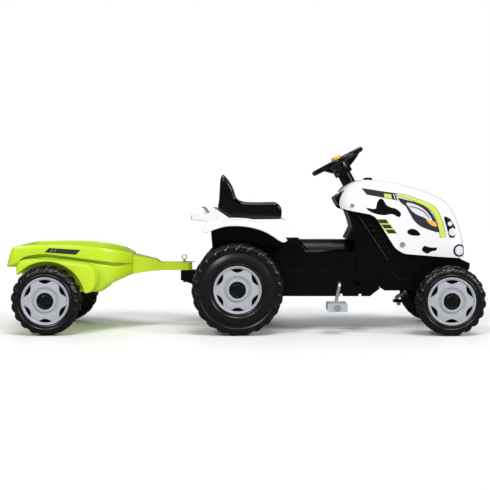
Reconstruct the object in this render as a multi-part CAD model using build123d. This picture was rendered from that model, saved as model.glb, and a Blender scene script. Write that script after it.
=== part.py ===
from build123d import *
from math import acos, asin, atan2, ceil, cos, degrees, pi, radians, sin, sqrt
import os

# A child's pedal tractor with a chain drive, front-wheel steering and a two-wheel trailer.
# Millimetres. +X is forwards, +Y is the driver's left, +Z is up, and the tyres stand on Z = 0.
# X = 0 and Y = 0 are the middle of the whole train, from the trailer's tail to the front tyres.

# ---------------------------------------------------------------- driving sizes
wheelbase = 628.0            # rear axle to front axle
trailer_reach = 565.0        # trailer axle to rear axle
tub_tail = 130.0             # tail lip behind the trailer axle
small_radius = 103.0         # front and trailer tyres
small_width = 56.0
big_radius = 136.0           # rear tyres
big_width = 68.0
overall_width = 440.0        # over the rear caps
axle_radius = 6.0            # wheel axles and stub axles
wall = 3.5                   # moulded shells
screw_radius = 2.25          # pilot holes
running = 0.08               # radial clearance of a shaft in its bore
seat_gap = 0.3               # gap between moving neighbours
frame_half = 88.0            # half width of the frame beam
console_half = 80.0          # half width of the console and the nose under the hood
hood_half = 100.0            # half width of the hood
hood_wall = 3.0
cover_half = 112.0           # half width of the rear cover between its mudguards
mudguard_half = 195.0        # outer edge of the rear mudguards
seat_half = 104.0
seat_top = 392.0

# ---------------------------------------------------------------- datum positions
overall_length = tub_tail + trailer_reach + wheelbase + small_radius
tail_x = -overall_length / 2
trailer_axle_x = tail_x + tub_tail
rear_axle_x = trailer_axle_x + trailer_reach
front_axle_x = rear_axle_x + wheelbase


def front(points):
    """Points given from the front axle."""
    return [(front_axle_x + x, z) for x, z in points]


def rear(points):
    """Points given from the rear axle."""
    return [(rear_axle_x + x, z) for x, z in points]


def trailer(points):
    """Points given from the trailer axle."""
    return [(trailer_axle_x + x, z) for x, z in points]


# ---------------------------------------------------------------- shape helpers
def outline_face(points, corner=0.0, inset=0.0):
    """A flat face with its corners rounded, then drawn in by inset."""
    face = make_face(Polyline(*points, close=True))
    if corner:
        face = fillet(face.vertices(), corner)
    if inset:
        face = offset(face, -inset)
    return face


def side_slab(points, y_low, y_high, corner=0.0, inset=0.0):
    """A side outline in X and Z, from y_low to y_high."""
    face = outline_face(points, corner, inset)
    return extrude(Plane.XZ.offset(-y_high) * face, y_high - y_low)


def plan_slab(points, z_low, z_high, corner=0.0, inset=0.0):
    """A plan outline in X and Y, from z_low to z_high."""
    face = outline_face(points, corner, inset)
    return extrude(Plane.XY.offset(z_low) * face, z_high - z_low)


def cross_slab(points, x_low, x_high, corner=0.0, inset=0.0):
    """A cross section in Y and Z, from x_low to x_high."""
    face = outline_face(points, corner, inset)
    return extrude(Plane.YZ.offset(x_low) * face, x_high - x_low)


def mirrored_points(points):
    """A half section with Y at least 0, closed by its mirror image."""
    return points + [(-y, z) for y, z in reversed(points)]


def open_below(shape_of, thick):
    """Hollows a shape from below. shape_of(inset) draws it with its sides drawn in across Y."""
    outer, inner = shape_of(0), shape_of(thick)
    core = Pos(thick, 0, 0) * inner & Pos(-thick, 0, 0) * inner & Pos(0, 0, -thick) * inner
    return outer - core


def both_sides(shape):
    """A shape on one side with its mirror image across Y = 0."""
    return Compound(list(shape.solids()) + list(mirror(shape, Plane.XZ).solids()))


def rod_y(x, z, radius, y_low, y_high):
    """A cylinder along Y."""
    return Plane.XZ.offset(-y_high) * Pos(x, z) * extrude(Circle(radius), y_high - y_low)


def rod_z(x, y, radius, z_low, z_high):
    """A cylinder along Z."""
    return Pos(x, y, z_low) * extrude(Circle(radius), z_high - z_low)


def ring_y(x, z, outer, inner, y_low, y_high):
    """A tube along Y."""
    return rod_y(x, z, outer, y_low, y_high) - rod_y(x, z, inner, y_low - 1, y_high + 1)


def save(name, *shapes):
    """Writes one node, made of one or more separate solids."""
    solids = [solid for shape in shapes for solid in shape.solids()]
    export_step(solids[0] if len(solids) == 1 else Compound(solids), f"parts/{name}.step")


# ---------------------------------------------------------------- wheels
# Each wheel is a black moulded tyre with its web and hub, a grey hubcap, and a black push-on cap.
# A wheel is made about its own centre with the outside facing +Y.
bore_radius = axle_radius + running
hub_radius = 15.0
web_thick = 4.0
cap_seat_radius = 71.0       # recess that holds the hubcap
cap_seat_lip = 64.0
cap_recess = 9.0
hubcap_radius = cap_seat_radius - 0.5
centre_cap_radius = 24.0
collar_radius = 31.0
cap_proud = 2.0              # centre cap beyond the tyre


def tyre(radius, width):
    """A hollow tyre: tread, two side walls, an inner web, and a hub tube on the axle."""
    out = width / 2
    shoulder = 0.78 * width / 2
    wall_bend = radius - 13
    skin = [
        (cap_seat_lip, out - cap_recess),
        (cap_seat_radius, out - cap_recess),
        (cap_seat_radius, out - 2.5),
        (cap_seat_radius + 4, out),
        (wall_bend - 6, out),
        (radius - 5, shoulder + 2),
        (radius, shoulder - 3),
        (radius, -shoulder + 3),
        (radius - 5, -shoulder - 2),
        (wall_bend - 6, -out),
        (cap_seat_radius - 4, -out),
        (cap_seat_lip - 4, -out + 10),
        (hub_radius + 2, -out + 10),
        (hub_radius, -out),
        (bore_radius, -out),
        (bore_radius, out - cap_recess - 3.05),
        (hub_radius, out - cap_recess - 3.05),
        (hub_radius, -out + 10 + web_thick),
        (cap_seat_lip, -out + 10 + web_thick),
        (cap_seat_radius, -out + web_thick),
        (wall_bend - 8, -out + web_thick),
        (radius - web_thick, -shoulder + 2),
        (radius - web_thick, shoulder - 2),
        (wall_bend - 8, out - web_thick),
        (cap_seat_radius + web_thick, out - web_thick),
        (cap_seat_radius + web_thick, out - cap_recess - web_thick),
        (cap_seat_lip, out - cap_recess - web_thick),
    ]
    return revolve(make_face(Polyline(*skin, close=True)), Axis.Y, 360)


def hubcap(width):
    """A dished disc with a raised lip, six lens-shaped windows and a collar round the centre cap."""
    seat = width / 2 - cap_recess
    section = [
        (bore_radius, seat - 3),
        (cap_seat_lip - 6, seat - 3),
        (cap_seat_lip - 3, seat + 0.05),
        (hubcap_radius, seat + 0.05),
        (hubcap_radius, seat + 9),
        (hubcap_radius - 3, seat + 10),
        (hubcap_radius - 6, seat + 5),
        (42, seat + 8),
        (38, seat + 5.5),
        (35, seat + 6),
        (collar_radius, seat + 10),
        (centre_cap_radius + 1.2, seat + 10.5),
        (centre_cap_radius + 0.4, seat + 1.5),
        (bore_radius, seat + 0.5),
    ]
    disc = revolve(make_face(Polyline(*section, close=True)), Axis.Y, 360)
    window_out, window_in, half_angle = 62.5, 51.5, radians(18)
    ends = [(window_out * sin(a), window_out * cos(a)) for a in (-half_angle, half_angle)]
    rim_arc = ThreePointArc(ends[0], (0, window_out), ends[1])
    hub_arc = ThreePointArc(ends[1], (0, window_in), ends[0])
    window = extrude(Plane.XZ.offset(-width) * make_face(rim_arc + hub_arc), 2 * width)
    for k in range(6):
        disc -= Rot(0, 60 * k, 0) * window
    return disc


def centre_cap(width):
    """A shallow domed disc pressed into the hubcap over the axle end."""
    seat = width / 2 - cap_recess
    top = width / 2 + cap_proud
    section = [
        (0, top),
        (centre_cap_radius - 6, top - 0.6),
        (centre_cap_radius, top - 3),
        (centre_cap_radius, seat + 1.6),
        (centre_cap_radius - 2, seat + 1.6),
        (centre_cap_radius - 2, top - 4),
        (0, top - 2.5),
    ]
    return revolve(make_face(Polyline(*section, close=True)), Axis.Y, 360)


def save_wheel(name, radius, width, x, y):
    """Writes a wheel's three nodes at its place, with its outside away from Y = 0."""
    place = Pos(x, y, radius) * Rot(0, 0, 0 if y > 0 else 180)
    save(f"{name}_tyre", place * tyre(radius, width))
    save(f"{name}_hubcap", place * hubcap(width))
    save(f"{name}_cap", place * centre_cap(width))


big_y = overall_width / 2 - cap_proud - big_width / 2
small_y = overall_width / 2 - cap_proud - small_width / 2


def push_nut(x, y, z):
    """A spring-steel dome pressed on an axle end, inside the centre cap."""
    side = 1 if y > 0 else -1
    ends = sorted((y, y - side * 4))
    return rod_y(x, z, axle_radius + 3, *ends) - rod_y(x, z, axle_radius, *sorted((y - side, y - side * 5)))


def axle_end(width, centre):
    """Where an axle stops: inside the hubcap's well, under the centre cap."""
    return centre + width / 2 - cap_recess + 4.5


# ---------------------------------------------------------------- rear axle, crank and chain
chain_pitch = 12.7
crank_teeth = 15
axle_teeth = 12
chain_links = 62
drive_y = 26.0               # middle of the chain
roller_radius = 3.4
plate_thick = 1.2
plate_gap = 4.4              # between the inner plates
crank_height = 145.0
crank_rod_radius = 5.0
crank_throw = 63.0
crank_lean = 11.5            # the lower pedal hangs this many degrees behind the crank's axis
pedal_length = 60.0
pedal_height = 25.0
pedal_y_in = 130.0
pedal_y_out = 206.0
case_half = 96.0


def pitch_radius(teeth):
    return chain_pitch / (2 * sin(pi / teeth))


def chain_centre_distance():
    """Distance between the sprockets that a closed chain of whole links sets."""
    r1, r2 = pitch_radius(crank_teeth), pitch_radius(axle_teeth)
    span = chain_links * chain_pitch / 2 - pi * (r1 + r2) / 2
    return sqrt(span**2 - (r1 - r2) ** 2)


sprocket_distance = chain_centre_distance()
crank_rise = crank_height - big_radius
crank_x = rear_axle_x + sqrt(sprocket_distance**2 - crank_rise**2)


def sprocket(teeth, x, z, bore):
    """A toothed disc with a hub. Its teeth stop just short of the chain's rollers."""
    tip = pitch_radius(teeth) - roller_radius - 0.4
    disc = rod_y(x, z, tip, drive_y - 1.8, drive_y + 1.8)
    notch = chain_pitch * 0.28
    for k in range(teeth):
        a = 2 * pi * (k + 0.5) / teeth
        disc -= rod_y(x + (tip + 1.2) * cos(a), z + (tip + 1.2) * sin(a), notch, drive_y - 3, drive_y + 3)
    disc += rod_y(x, z, bore + 6, drive_y - 10, drive_y + 10)
    return disc - rod_y(x, z, bore + running, drive_y - 12, drive_y + 12)


def chain_points():
    """Joint centres of a closed chain round both sprockets, evenly spaced along its run."""
    r1, r2 = pitch_radius(crank_teeth), pitch_radius(axle_teeth)
    tilt = atan2(crank_rise, crank_x - rear_axle_x)
    lean = asin((r1 - r2) / sprocket_distance)
    straight = sprocket_distance * cos(lean)
    arc_front, arc_rear = r1 * (pi + 2 * lean), r2 * (pi - 2 * lean)
    total = 2 * straight + arc_front + arc_rear
    points = []
    for k in range(chain_links):
        s = total * k / chain_links
        if s < straight:
            a = tilt + pi / 2 + lean
            x0, z0 = rear_axle_x + r2 * cos(a), big_radius + r2 * sin(a)
            x, z = x0 + s * cos(a - pi / 2), z0 + s * sin(a - pi / 2)
        elif s < straight + arc_front:
            a = tilt + pi / 2 + lean - (s - straight) / r1
            x, z = crank_x + r1 * cos(a), crank_height + r1 * sin(a)
        elif s < 2 * straight + arc_front:
            a = tilt - pi / 2 - lean
            x0, z0 = crank_x + r1 * cos(a), crank_height + r1 * sin(a)
            t = s - straight - arc_front
            x, z = x0 + t * cos(a - pi / 2), z0 + t * sin(a - pi / 2)
        else:
            a = tilt - pi / 2 - lean - (s - 2 * straight - arc_front) / r2
            x, z = rear_axle_x + r2 * cos(a), big_radius + r2 * sin(a)
        points.append((x, z))
    return points


def chain_link(length, plate_y, pin, reach):
    """Two plates joined at each end by a pin or a hollow roller of the given radii."""
    link = None
    for side in (-1, 1):
        low, high = sorted((side * plate_y, side * (plate_y + plate_thick)))
        plate = rod_y(0, 0, 4.0, low, high) + rod_y(length, 0, 4.0, low, high)
        plate += side_slab([(0, -2.6), (length, -2.6), (length, 2.6), (0, 2.6)], low, high)
        link = plate if link is None else link + plate
    for x in (0, length):
        link += rod_y(x, 0, pin, -reach, reach)
    return link


def chain():
    """Inner links with rollers and outer links with pins, one solid each."""
    points = chain_points()
    pin_radius, inner = 1.6, plate_gap / 2
    links = []
    for k, (x, z) in enumerate(points):
        x2, z2 = points[(k + 1) % len(points)]
        length = sqrt((x2 - x) ** 2 + (z2 - z) ** 2)
        turn = Rot(0, -degrees(atan2(z2 - z, x2 - x)), 0)
        if k % 2:
            outer = inner + plate_thick + 0.1
            link = chain_link(length, outer, pin_radius, outer + plate_thick)
        else:
            link = chain_link(length, inner, roller_radius, inner)
            for end in (0, length):
                link -= rod_y(end, 0, pin_radius + 0.1, -9, 9)
        links.append(Pos(x, drive_y, z) * turn * link)
    return Compound([link.solid() for link in links])


def crank_rod():
    """One bent steel rod: pedal spindle, arm, axle, opposite arm, opposite spindle."""
    lean = radians(crank_lean)
    dx, dz = crank_throw * sin(lean), crank_throw * cos(lean)
    spindle = pedal_y_out + 5
    arm_y = (case_half + pedal_y_in) / 2
    path = FilletPolyline(
        (crank_x - dx, -spindle, crank_height - dz),
        (crank_x - dx, -arm_y, crank_height - dz),
        (crank_x, -arm_y, crank_height),
        (crank_x, arm_y, crank_height),
        (crank_x + dx, arm_y, crank_height + dz),
        (crank_x + dx, spindle, crank_height + dz),
        radius=9,
    )
    start = Plane(origin=path @ 0, z_dir=path % 0)
    return sweep(start * Circle(crank_rod_radius), path)


def pedal_centre(side):
    lean = radians(crank_lean)
    return crank_x + side * crank_throw * sin(lean), crank_height + side * crank_throw * cos(lean)


def pedal(side):
    """A moulded pedal block with a bore for the spindle and a recess in each tread face."""
    x, z = pedal_centre(side)
    ends = sorted((side * pedal_y_in, side * pedal_y_out))
    half, tall = pedal_length / 2, pedal_height / 2
    box = [(-half, -tall), (half, -tall), (half, tall), (-half, tall)]
    block = side_slab([(x + a, z + b) for a, b in box], *ends, corner=5)
    for sign in (-1, 1):
        recess = [(-half + 6, -1.5), (half - 6, -1.5), (half - 6, 1.5), (-half + 6, 1.5)]
        block -= side_slab([(x + a, z + sign * tall + b) for a, b in recess], ends[0] + 6, ends[1] - 6)
    return block - rod_y(x, z, crank_rod_radius + running, ends[0] - 1, ends[1] + 1)


def pedal_nut(side):
    x, z = pedal_centre(side)
    low, high = sorted((side * (pedal_y_out + 0.5), side * (pedal_y_out + 4.5)))
    return ring_y(x, z, crank_rod_radius + 4, crank_rod_radius + 0.02, low, high)


def bush(x, z, y, side, radius, length):
    """A flanged plastic bush in a frame wall, with its flange outside."""
    inner = sorted((side * y, side * (y - length)))
    flange = sorted((side * y, side * (y + 2)))
    body = rod_y(x, z, radius + 4, *inner) + rod_y(x, z, radius + 8, *flange)
    return body - rod_y(x, z, radius + running, min(inner + flange) - 1, max(inner + flange) + 1)


# ---------------------------------------------------------------- black frame mouldings
fold_height = 185.0          # seam between the drive case and the frame above it
case_bottom = 107.0
beam_top = 275.0
nose_bottom = 123.0

case_outline = (
    rear([(-74, fold_height), (-74, case_bottom + 18), (-56, case_bottom)])
    + front([(-228, case_bottom), (-197, 131)])
    + front([(-232, fold_height)])
)
case_section = mirrored_points([(case_half, case_bottom), (case_half, fold_height)])


def slotted_wall_cut(x, z, half):
    """The crank's keyhole: a round seat with a narrow slot to the case's lower edge."""
    seat = rod_y(x, z, crank_rod_radius + 4 + 0.05, -case_half - 9, case_half + 9)
    notch = side_slab(
        [(x + 2, case_bottom - 5), (x + 2 + 2 * half, case_bottom - 5), (x + 2 + 2 * half, case_bottom + 7), (x + 2, case_bottom + 7)],
        -case_half - 9,
        case_half + 9,
    )
    return [seat, notch]


def drive_case():
    """The lower half of the frame: an open-bottomed shell that carries the rear axle and the crank."""
    x_low, x_high = case_outline[0][0] - 1, front([(0, 0)])[0][0]
    outer = side_slab(case_outline, -case_half - 5, case_half + 5, corner=4)
    outer &= cross_slab(case_section, x_low, x_high)
    inner = side_slab(case_outline, -case_half - 5, case_half + 5, corner=4, inset=wall)
    inner &= cross_slab(case_section, x_low, x_high, inset=wall)
    shell = outer - (inner + Pos(0, 0, -2 * wall) * inner)
    shell -= rod_y(rear_axle_x, big_radius, axle_radius + 4.05, -case_half - 9, case_half + 9)
    for x in (crank_x, crank_x + second_crank_step):
        for cut in slotted_wall_cut(x, crank_height, 4):
            shell -= cut
    return shell


second_crank_step = 57.0     # the second crank seat, for a taller child

seat_box_outline = rear(
    [(-72, fold_height), (-81, 302), (-79, 318), (138, 334), (180, 292), (205, 236), (205, fold_height)]
)
seat_box_section = mirrored_points(
    [(frame_half, fold_height), (frame_half, 222), (108, 262), (108, 336)]
)
beam_section = mirrored_points(
    [(frame_half, fold_height), (frame_half, 240), (frame_half - 8, 246), (50, 250), (44, beam_top - 4), (40, beam_top)]
)


def hollow(outline, section, x_low, x_high, thick, corner):
    """An outer solid and its inner core, from a side outline and a cross section."""
    wide = 2 * mudguard_half
    outer = side_slab(outline, -wide, wide, corner=corner) & cross_slab(section, x_low, x_high)
    inner = side_slab(outline, -wide, wide, corner=corner, inset=thick)
    inner &= cross_slab(section, x_low, x_high, inset=thick)
    return outer, inner


def main_frame():
    """The seat box and the beam in front of it, one black open-bottomed moulding."""
    beam_front = front([(-272, 0)])[0][0]
    beam_rear = rear([(150, 0)])[0][0]
    beam = [(beam_rear, fold_height), (beam_rear, beam_top + 9), (beam_front, beam_top + 9), (beam_front, fold_height)]
    box_outer, box_inner = hollow(seat_box_outline, seat_box_section, tail_x, front_axle_x, wall, 6)
    beam_outer, beam_inner = hollow(beam, beam_section, beam_rear, beam_front, wall, 0)
    core = box_inner + beam_inner
    return box_outer + beam_outer - core - Pos(0, 0, -2 * wall) * core


nose_front = 48.0            # ahead of the front axle
hood_screw_places = [(-283, 382), (-131, 264)]

console_outline = front(
    [
        (-272, fold_height),
        (-272, beam_top),
        (-292, beam_top + 1),
        (-299, beam_top + 4),
        (-281, 315),
        (-287, 338),
        (-298, 367),
        (-315, 371),
        (-325, 384),
        (-335, 404),
        (-322, 414),
        (-300, 423),
        (-262, 424),
        (-180, 396),
        (-90, 290),
        (40, 240),
        (nose_front, 226),
        (nose_front, 160),
        (30, nose_bottom),
        (-182, nose_bottom),
        (-195.4, 131.5),
        (-231.5, fold_height),
    ]
)
console_section = mirrored_points([(console_half, nose_bottom - 3), (console_half, 440)])


def front_console():
    """The black console from the beam up to the dash, with the nose that carries the front axle."""
    outer = side_slab(console_outline, -console_half, console_half, corner=2.0)
    inner = side_slab(console_outline, -console_half + wall, console_half - wall, corner=2.0, inset=wall)
    shell = outer - (inner + Pos(0, 0, -2 * wall) * inner)
    for x, z in hood_screw_places:
        boss = rod_y(front_axle_x + x, z, 7, console_half - wall, hood_half - hood_wall - 0.7)
        boss -= rod_y(front_axle_x + x, z, screw_radius, console_half - 20, hood_half)
        shell += boss + mirror(boss, Plane.XZ)
        shell -= rod_y(front_axle_x + x, z, screw_radius, -hood_half, hood_half)
    shell -= column_cylinder(sleeve_radius + 0.3, -220, -20)
    shell -= column_cylinder(rod_clear, -500, -220)
    return shell


def engine_panels():
    """A slanted louvred panel on each side of the console."""
    panel = front([(-262, 351), (-228, 353), (-150, 245), (-134, 222), (-173, 216)])
    plate = side_slab(panel, console_half, console_half + 3, corner=3)
    for k in range(7):
        x, z = front_axle_x - 247 + 11.5 * k, 338 - 16 * k
        rib = [(x, z), (x + 26, z - 2), (x + 30, z - 9), (x + 4, z - 7)]
        plate += side_slab(rib, console_half + 3, console_half + 6)
    return both_sides(plate)


def front_bumper():
    """A black bar across the nose, above the front tyres."""
    root = nose_front + 0.05
    lip = front([(root, 172), (root, 216), (root + 4, 218), (78, 206), (76, 189), (59, 170)])
    return side_slab(lip, -78, 78, corner=2)


# ---------------------------------------------------------------- steering column
# The column leans back. Heights along it are measured up its axis from the steering wheel's rim plane.
column_lean = 28.0
wheel_centre_x = -321.0      # from the front axle
wheel_centre_z = 517.0
column_rod_radius = 6.0
sleeve_radius = 20.5
rod_clear = 12.0
rim_radius = 80.0
rim_thick = 7.5
steer_throw = 37.4
column_plane = Plane(
    origin=(front_axle_x + wheel_centre_x, 0, wheel_centre_z),
    x_dir=(cos(radians(column_lean)), 0, sin(radians(column_lean))),
    z_dir=(-sin(radians(column_lean)), 0, cos(radians(column_lean))),
)


def column_cylinder(radius, low, high):
    """A cylinder on the column's axis."""
    return column_plane * Pos(0, 0, low) * extrude(Circle(radius), high - low)


def on_column(along, out=0.0):
    """A point on the column's axis, or out from it towards the driver, as X, Y and Z."""
    return tuple((column_plane * Pos(-out, 0, along)).position)


hub_low = -46.0
button_radius = 16.0
button_travel = 3.0
pocket_floor = -16.0
hub_top = 3.0


def steering_wheel():
    """Rim, three spokes and a deep hub that grips the top of the column rod."""
    rim = column_plane * Torus(rim_radius, rim_thick)
    hub = column_cylinder(27, -18, hub_top) + column_cylinder(22, hub_low, -18)
    wheel = rim + hub
    for turn in (0, 125, 235):
        arm = [(20, -9), (rim_radius - 2, -5), (rim_radius - 2, 3), (20, 1)]
        spoke = extrude(Plane.XZ.offset(-11) * make_face(Polyline(*arm, close=True)), 22)
        wheel += column_plane * Rot(0, 0, turn) * spoke
    wheel -= column_cylinder(button_radius + 0.4, pocket_floor, hub_top + 20)
    return wheel - column_cylinder(column_rod_radius + running, hub_low - 1, pocket_floor - 6)


def horn_button():
    """A domed yellow push button in the hub's pocket."""
    body = column_cylinder(button_radius, -4, 12.5)
    top = body.edges().sort_by(lambda e: (column_plane.to_local_coords(e.center())).Z)[-1]
    return fillet(top, 3)


def horn_spring():
    """A coil spring between the pocket's floor and the button."""
    height, radius, wire = -4 - pocket_floor, 9.0, 0.8
    coil = Helix(pitch=(height - 2 * wire - 0.1) / 4, height=height - 2 * wire - 0.1, radius=radius)
    start = Plane(origin=coil @ 0, z_dir=coil % 0)
    spring = sweep(start * Circle(wire), coil, is_frenet=True)
    return column_plane * Pos(0, 0, pocket_floor + wire + 0.05) * spring


def column_sleeve():
    """A fixed black sleeve round the rod, from inside the dash up to the steering wheel's hub."""
    tube = column_cylinder(sleeve_radius, -140, hub_low - seat_gap)
    return tube - column_cylinder(rod_clear, -141, hub_low + 1)


# ---------------------------------------------------------------- front axle and steering linkage
kingpin_y = 128.0
kingpin_radius = 5.0
knuckle_radius = 13.0
knuckle_half = 28.0
ear_thick = 11.0
arm_length = 56.0
arm_thick = 8.0
arm_low = 92.0
tie_low = 80.0
tie_thick = 8.0
tie_pin_radius = 4.0
tie_play = 0.8
slot_travel = 8.0

arm_along = -(wheel_centre_z - 111.5) / cos(radians(column_lean))


def steering_rod():
    """One bent steel rod from the steering wheel's hub to the slot in the tie bar."""
    path = FilletPolyline(
        on_column(pocket_floor - 6.5),
        on_column(arm_along),
        on_column(arm_along, steer_throw),
        on_column(arm_along - 26, steer_throw),
        radius=8,
    )
    start = Plane(origin=path @ 0, z_dir=path % 0)
    return sweep(start * Circle(column_rod_radius), path)


def column_bushes():
    """Two plain bushes: one in the sleeve, one in the boss on the front axle beam."""
    top = column_cylinder(rod_clear - 0.05, -136, -120)
    low = column_cylinder(9.0, arm_along + 14, arm_along + 34)
    hole = column_cylinder(column_rod_radius + running, arm_along, 0)
    return Compound([(top - hole).solid(), (low - hole).solid()])


def front_axle_beam():
    """A cross beam under the nose with a fork at each end for a kingpin and a boss for the column."""
    z = small_radius
    top = z + knuckle_half + ear_thick + seat_gap
    low = z - knuckle_half - ear_thick - seat_gap
    under_nose = nose_bottom - 0.05
    span = kingpin_y - knuckle_radius - 8
    bar = side_slab(front([(-22, z - 20), (22, z - 20), (22, under_nose), (-22, under_nose)]), -span, span, corner=3)
    fork = side_slab(front([(-16, low), (16, low), (16, top), (-16, top)]), span - 12, kingpin_y + 14, corner=3)
    fork -= side_slab(
        front([(-40, z - knuckle_half - seat_gap), (40, z - knuckle_half - seat_gap), (40, z + knuckle_half + seat_gap), (-40, z + knuckle_half + seat_gap)]),
        span - 1,
        kingpin_y + 40,
    )
    fork -= rod_z(front_axle_x, kingpin_y, kingpin_radius + running, low - 5, top + 5)
    beam = bar + fork + mirror(fork, Plane.XZ)
    spine = side_slab(front([(-104, 112), (-20, 96), (-20, under_nose), (-104, under_nose)]), -16, 16)
    boss = column_cylinder(14, arm_along + 12, arm_along + 34)
    gusset = side_slab(front([(-104, 112), (-60, 112), (-60, 122), (-98, 142)]), -10, 10)
    beam = beam + spine + gusset + boss
    beam -= column_cylinder(9.05, arm_along + 13, arm_along + 40)
    return beam - column_cylinder(column_rod_radius + 2, arm_along - 30, arm_along + 40)


def kingpins():
    """A bolt through each fork and knuckle, with its head on top and a nut below."""
    z = small_radius
    reach = knuckle_half + ear_thick + seat_gap
    bolt = rod_z(front_axle_x, kingpin_y, kingpin_radius, z - reach - 7, z + reach + 0.05)
    bolt += rod_z(front_axle_x, kingpin_y, 8, z + reach + 0.05, z + reach + 4)
    bolt += rod_z(front_axle_x, kingpin_y, 8, z - reach - 6, z - reach - 0.05)
    return both_sides(bolt)


def knuckle(side):
    """A barrel on the kingpin with an outward boss for the stub axle and a rearward steering arm."""
    y = side * kingpin_y
    z = small_radius
    barrel = rod_z(front_axle_x, y, knuckle_radius, z - knuckle_half, z + knuckle_half)
    boss_out = small_y - small_width / 2 - 1.5
    barrel += rod_y(front_axle_x, z, 11, *sorted((y, side * boss_out)))
    tip = [(-arm_length - 16, -10), (-arm_length - 16, 10), (0, 10), (0, -10)]
    arm = plan_slab([(front_axle_x + a, y + b) for a, b in tip], arm_low, arm_low + arm_thick, corner=4)
    half = tie_pin_radius + tie_play
    slot = [(-arm_length - slot_travel - 3, -half), (-arm_length - slot_travel - 3, half), (-arm_length + 8, half), (-arm_length + 8, -half)]
    arm -= plan_slab([(front_axle_x + a, y + b) for a, b in slot], arm_low - 1, arm_low + arm_thick + 1, corner=3.5)
    shape = barrel + arm - rod_z(front_axle_x, y, kingpin_radius + running, z - 60, z + 60)
    return shape - rod_y(front_axle_x, z, axle_radius, *sorted((side * (kingpin_y + kingpin_radius + 2), side * 300)))


def stub_axle(side):
    """A steel stub in the knuckle, and the push nut on its end."""
    end = axle_end(small_width, small_y)
    stub = rod_y(front_axle_x, small_radius, axle_radius, *sorted((side * (kingpin_y + kingpin_radius + 2), side * end)))
    return stub, push_nut(front_axle_x, side * (end + 1), small_radius)


def tie_bar():
    """A flat bar that joins both steering arms, with a tongue whose slot takes the column rod's end."""
    x = front_axle_x - arm_length
    bar = plan_slab(
        [(x - 10, -kingpin_y - 10), (x + 10, -kingpin_y - 10), (x + 10, kingpin_y + 10), (x - 10, kingpin_y + 10)],
        tie_low,
        tie_low + tie_thick,
        corner=6,
    )
    slot_x = on_column(arm_along - (on_column(arm_along, steer_throw)[2] - tie_low - tie_thick / 2) / cos(radians(column_lean)), steer_throw)[0]
    tongue = [(slot_x - 13, -12), (slot_x - 13, 12), (slot_x + 40, 24), (x, 24), (x, -24), (slot_x + 40, -24)]
    bar += plan_slab(tongue, tie_low, tie_low + tie_thick)
    half = column_rod_radius + 0.9
    slot = [(slot_x - 9, -half), (slot_x - 9, half), (slot_x + 22, half), (slot_x + 22, -half)]
    bar -= plan_slab(slot, tie_low - 1, tie_low + tie_thick + 1, corner=5)
    for side in (-1, 1):
        bar += rod_z(x, side * kingpin_y, tie_pin_radius, tie_low + tie_thick / 2, arm_low + arm_thick + 3)
    return bar


# ---------------------------------------------------------------- hood and lamps
hood_round = 42.0


hood_hem = front([(61, 222), (-29, 228), (-126, 236), (-152, 252), (-180, 296), (-208, 342), (-224, 354), (-297, 368), (-316, 374), (-327, 392)])
hood_crown = front([(-327, 392), (-322, 412), (-304, 438), (-268, 456), (-186, 455), (-112, 441), (-40, 417), (12, 384), (40, 334), (56, 282), (61, 222)])


def hood_face(inset=0.0):
    """The hood's side outline. Its top and nose are one smooth curve, drawn in by inset."""
    crown = Spline(*hood_crown)
    hem = list(hood_hem)
    if inset:
        count = 14
        places = [k / count for k in range(count + 1)]
        normals = [(crown % t).rotate(Axis.Z, -90) for t in places]
        inner = [crown @ t + n * inset for t, n in zip(places, normals)]
        crown = Spline(*inner)
        hem[0], hem[-1] = inner[-1], inner[0]
    return make_face(Polyline(*hem) + crown)


def hood_solid(inset=0.0):
    """The hood as a full block with its upper edges rounded over."""
    half = hood_half - inset
    block = extrude(Plane.XZ.offset(-half) * hood_face(inset), 2 * half)
    long_edges = [
        e
        for e in block.edges()
        if abs(abs(e.center().Y) - half) < 0.01 and e.geom_type != GeomType.LINE and e.length > 150
    ]
    return fillet(long_edges, hood_round - inset)


def hood():
    """A thin white shell over the console, open below, with a hole for the steering column."""
    inner = hood_solid(hood_wall)
    shell = hood_solid() - inner - Pos(0, 0, -2 * hood_wall) * inner
    for x, z in hood_screw_places:
        shell -= rod_y(front_axle_x + x, z, screw_radius, -hood_half - 9, hood_half + 9)
    # the dash of the console comes out through the hood's rear edge
    dash = front([(-350, 350), (-350, 422), (-318, 422), (-296, 433), (-290, 350)])
    shell -= side_slab(dash, -console_half - seat_gap, console_half + seat_gap)
    return shell - column_cylinder(sleeve_radius + 2, -140, 0)


skin_lean = atan2(0.55, 0.83)   # lamps stand off the hood forwards and outwards


def hood_skin(window, start, thick, block):
    """What a window sees of a skin on both sides of the hood, from start to start plus thick."""
    skins = []
    for side in (-1, 1):
        out = Vector(sin(skin_lean), side * cos(skin_lean), 0)
        half_space = Pos(0, side * hood_half, 0) * Box(4000, hood_half + 60, 4000)
        skin = window & half_space & (Pos(out * (start + thick)) * block)
        skins += (skin - Pos(out * start) * block).solids().sort_by(SortBy.VOLUME)[-1:]
    return Compound(skins)


def lamp_disc(x, z, radius):
    return rod_y(front_axle_x + x, z, radius, -2 * hood_half, 2 * hood_half)


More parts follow.
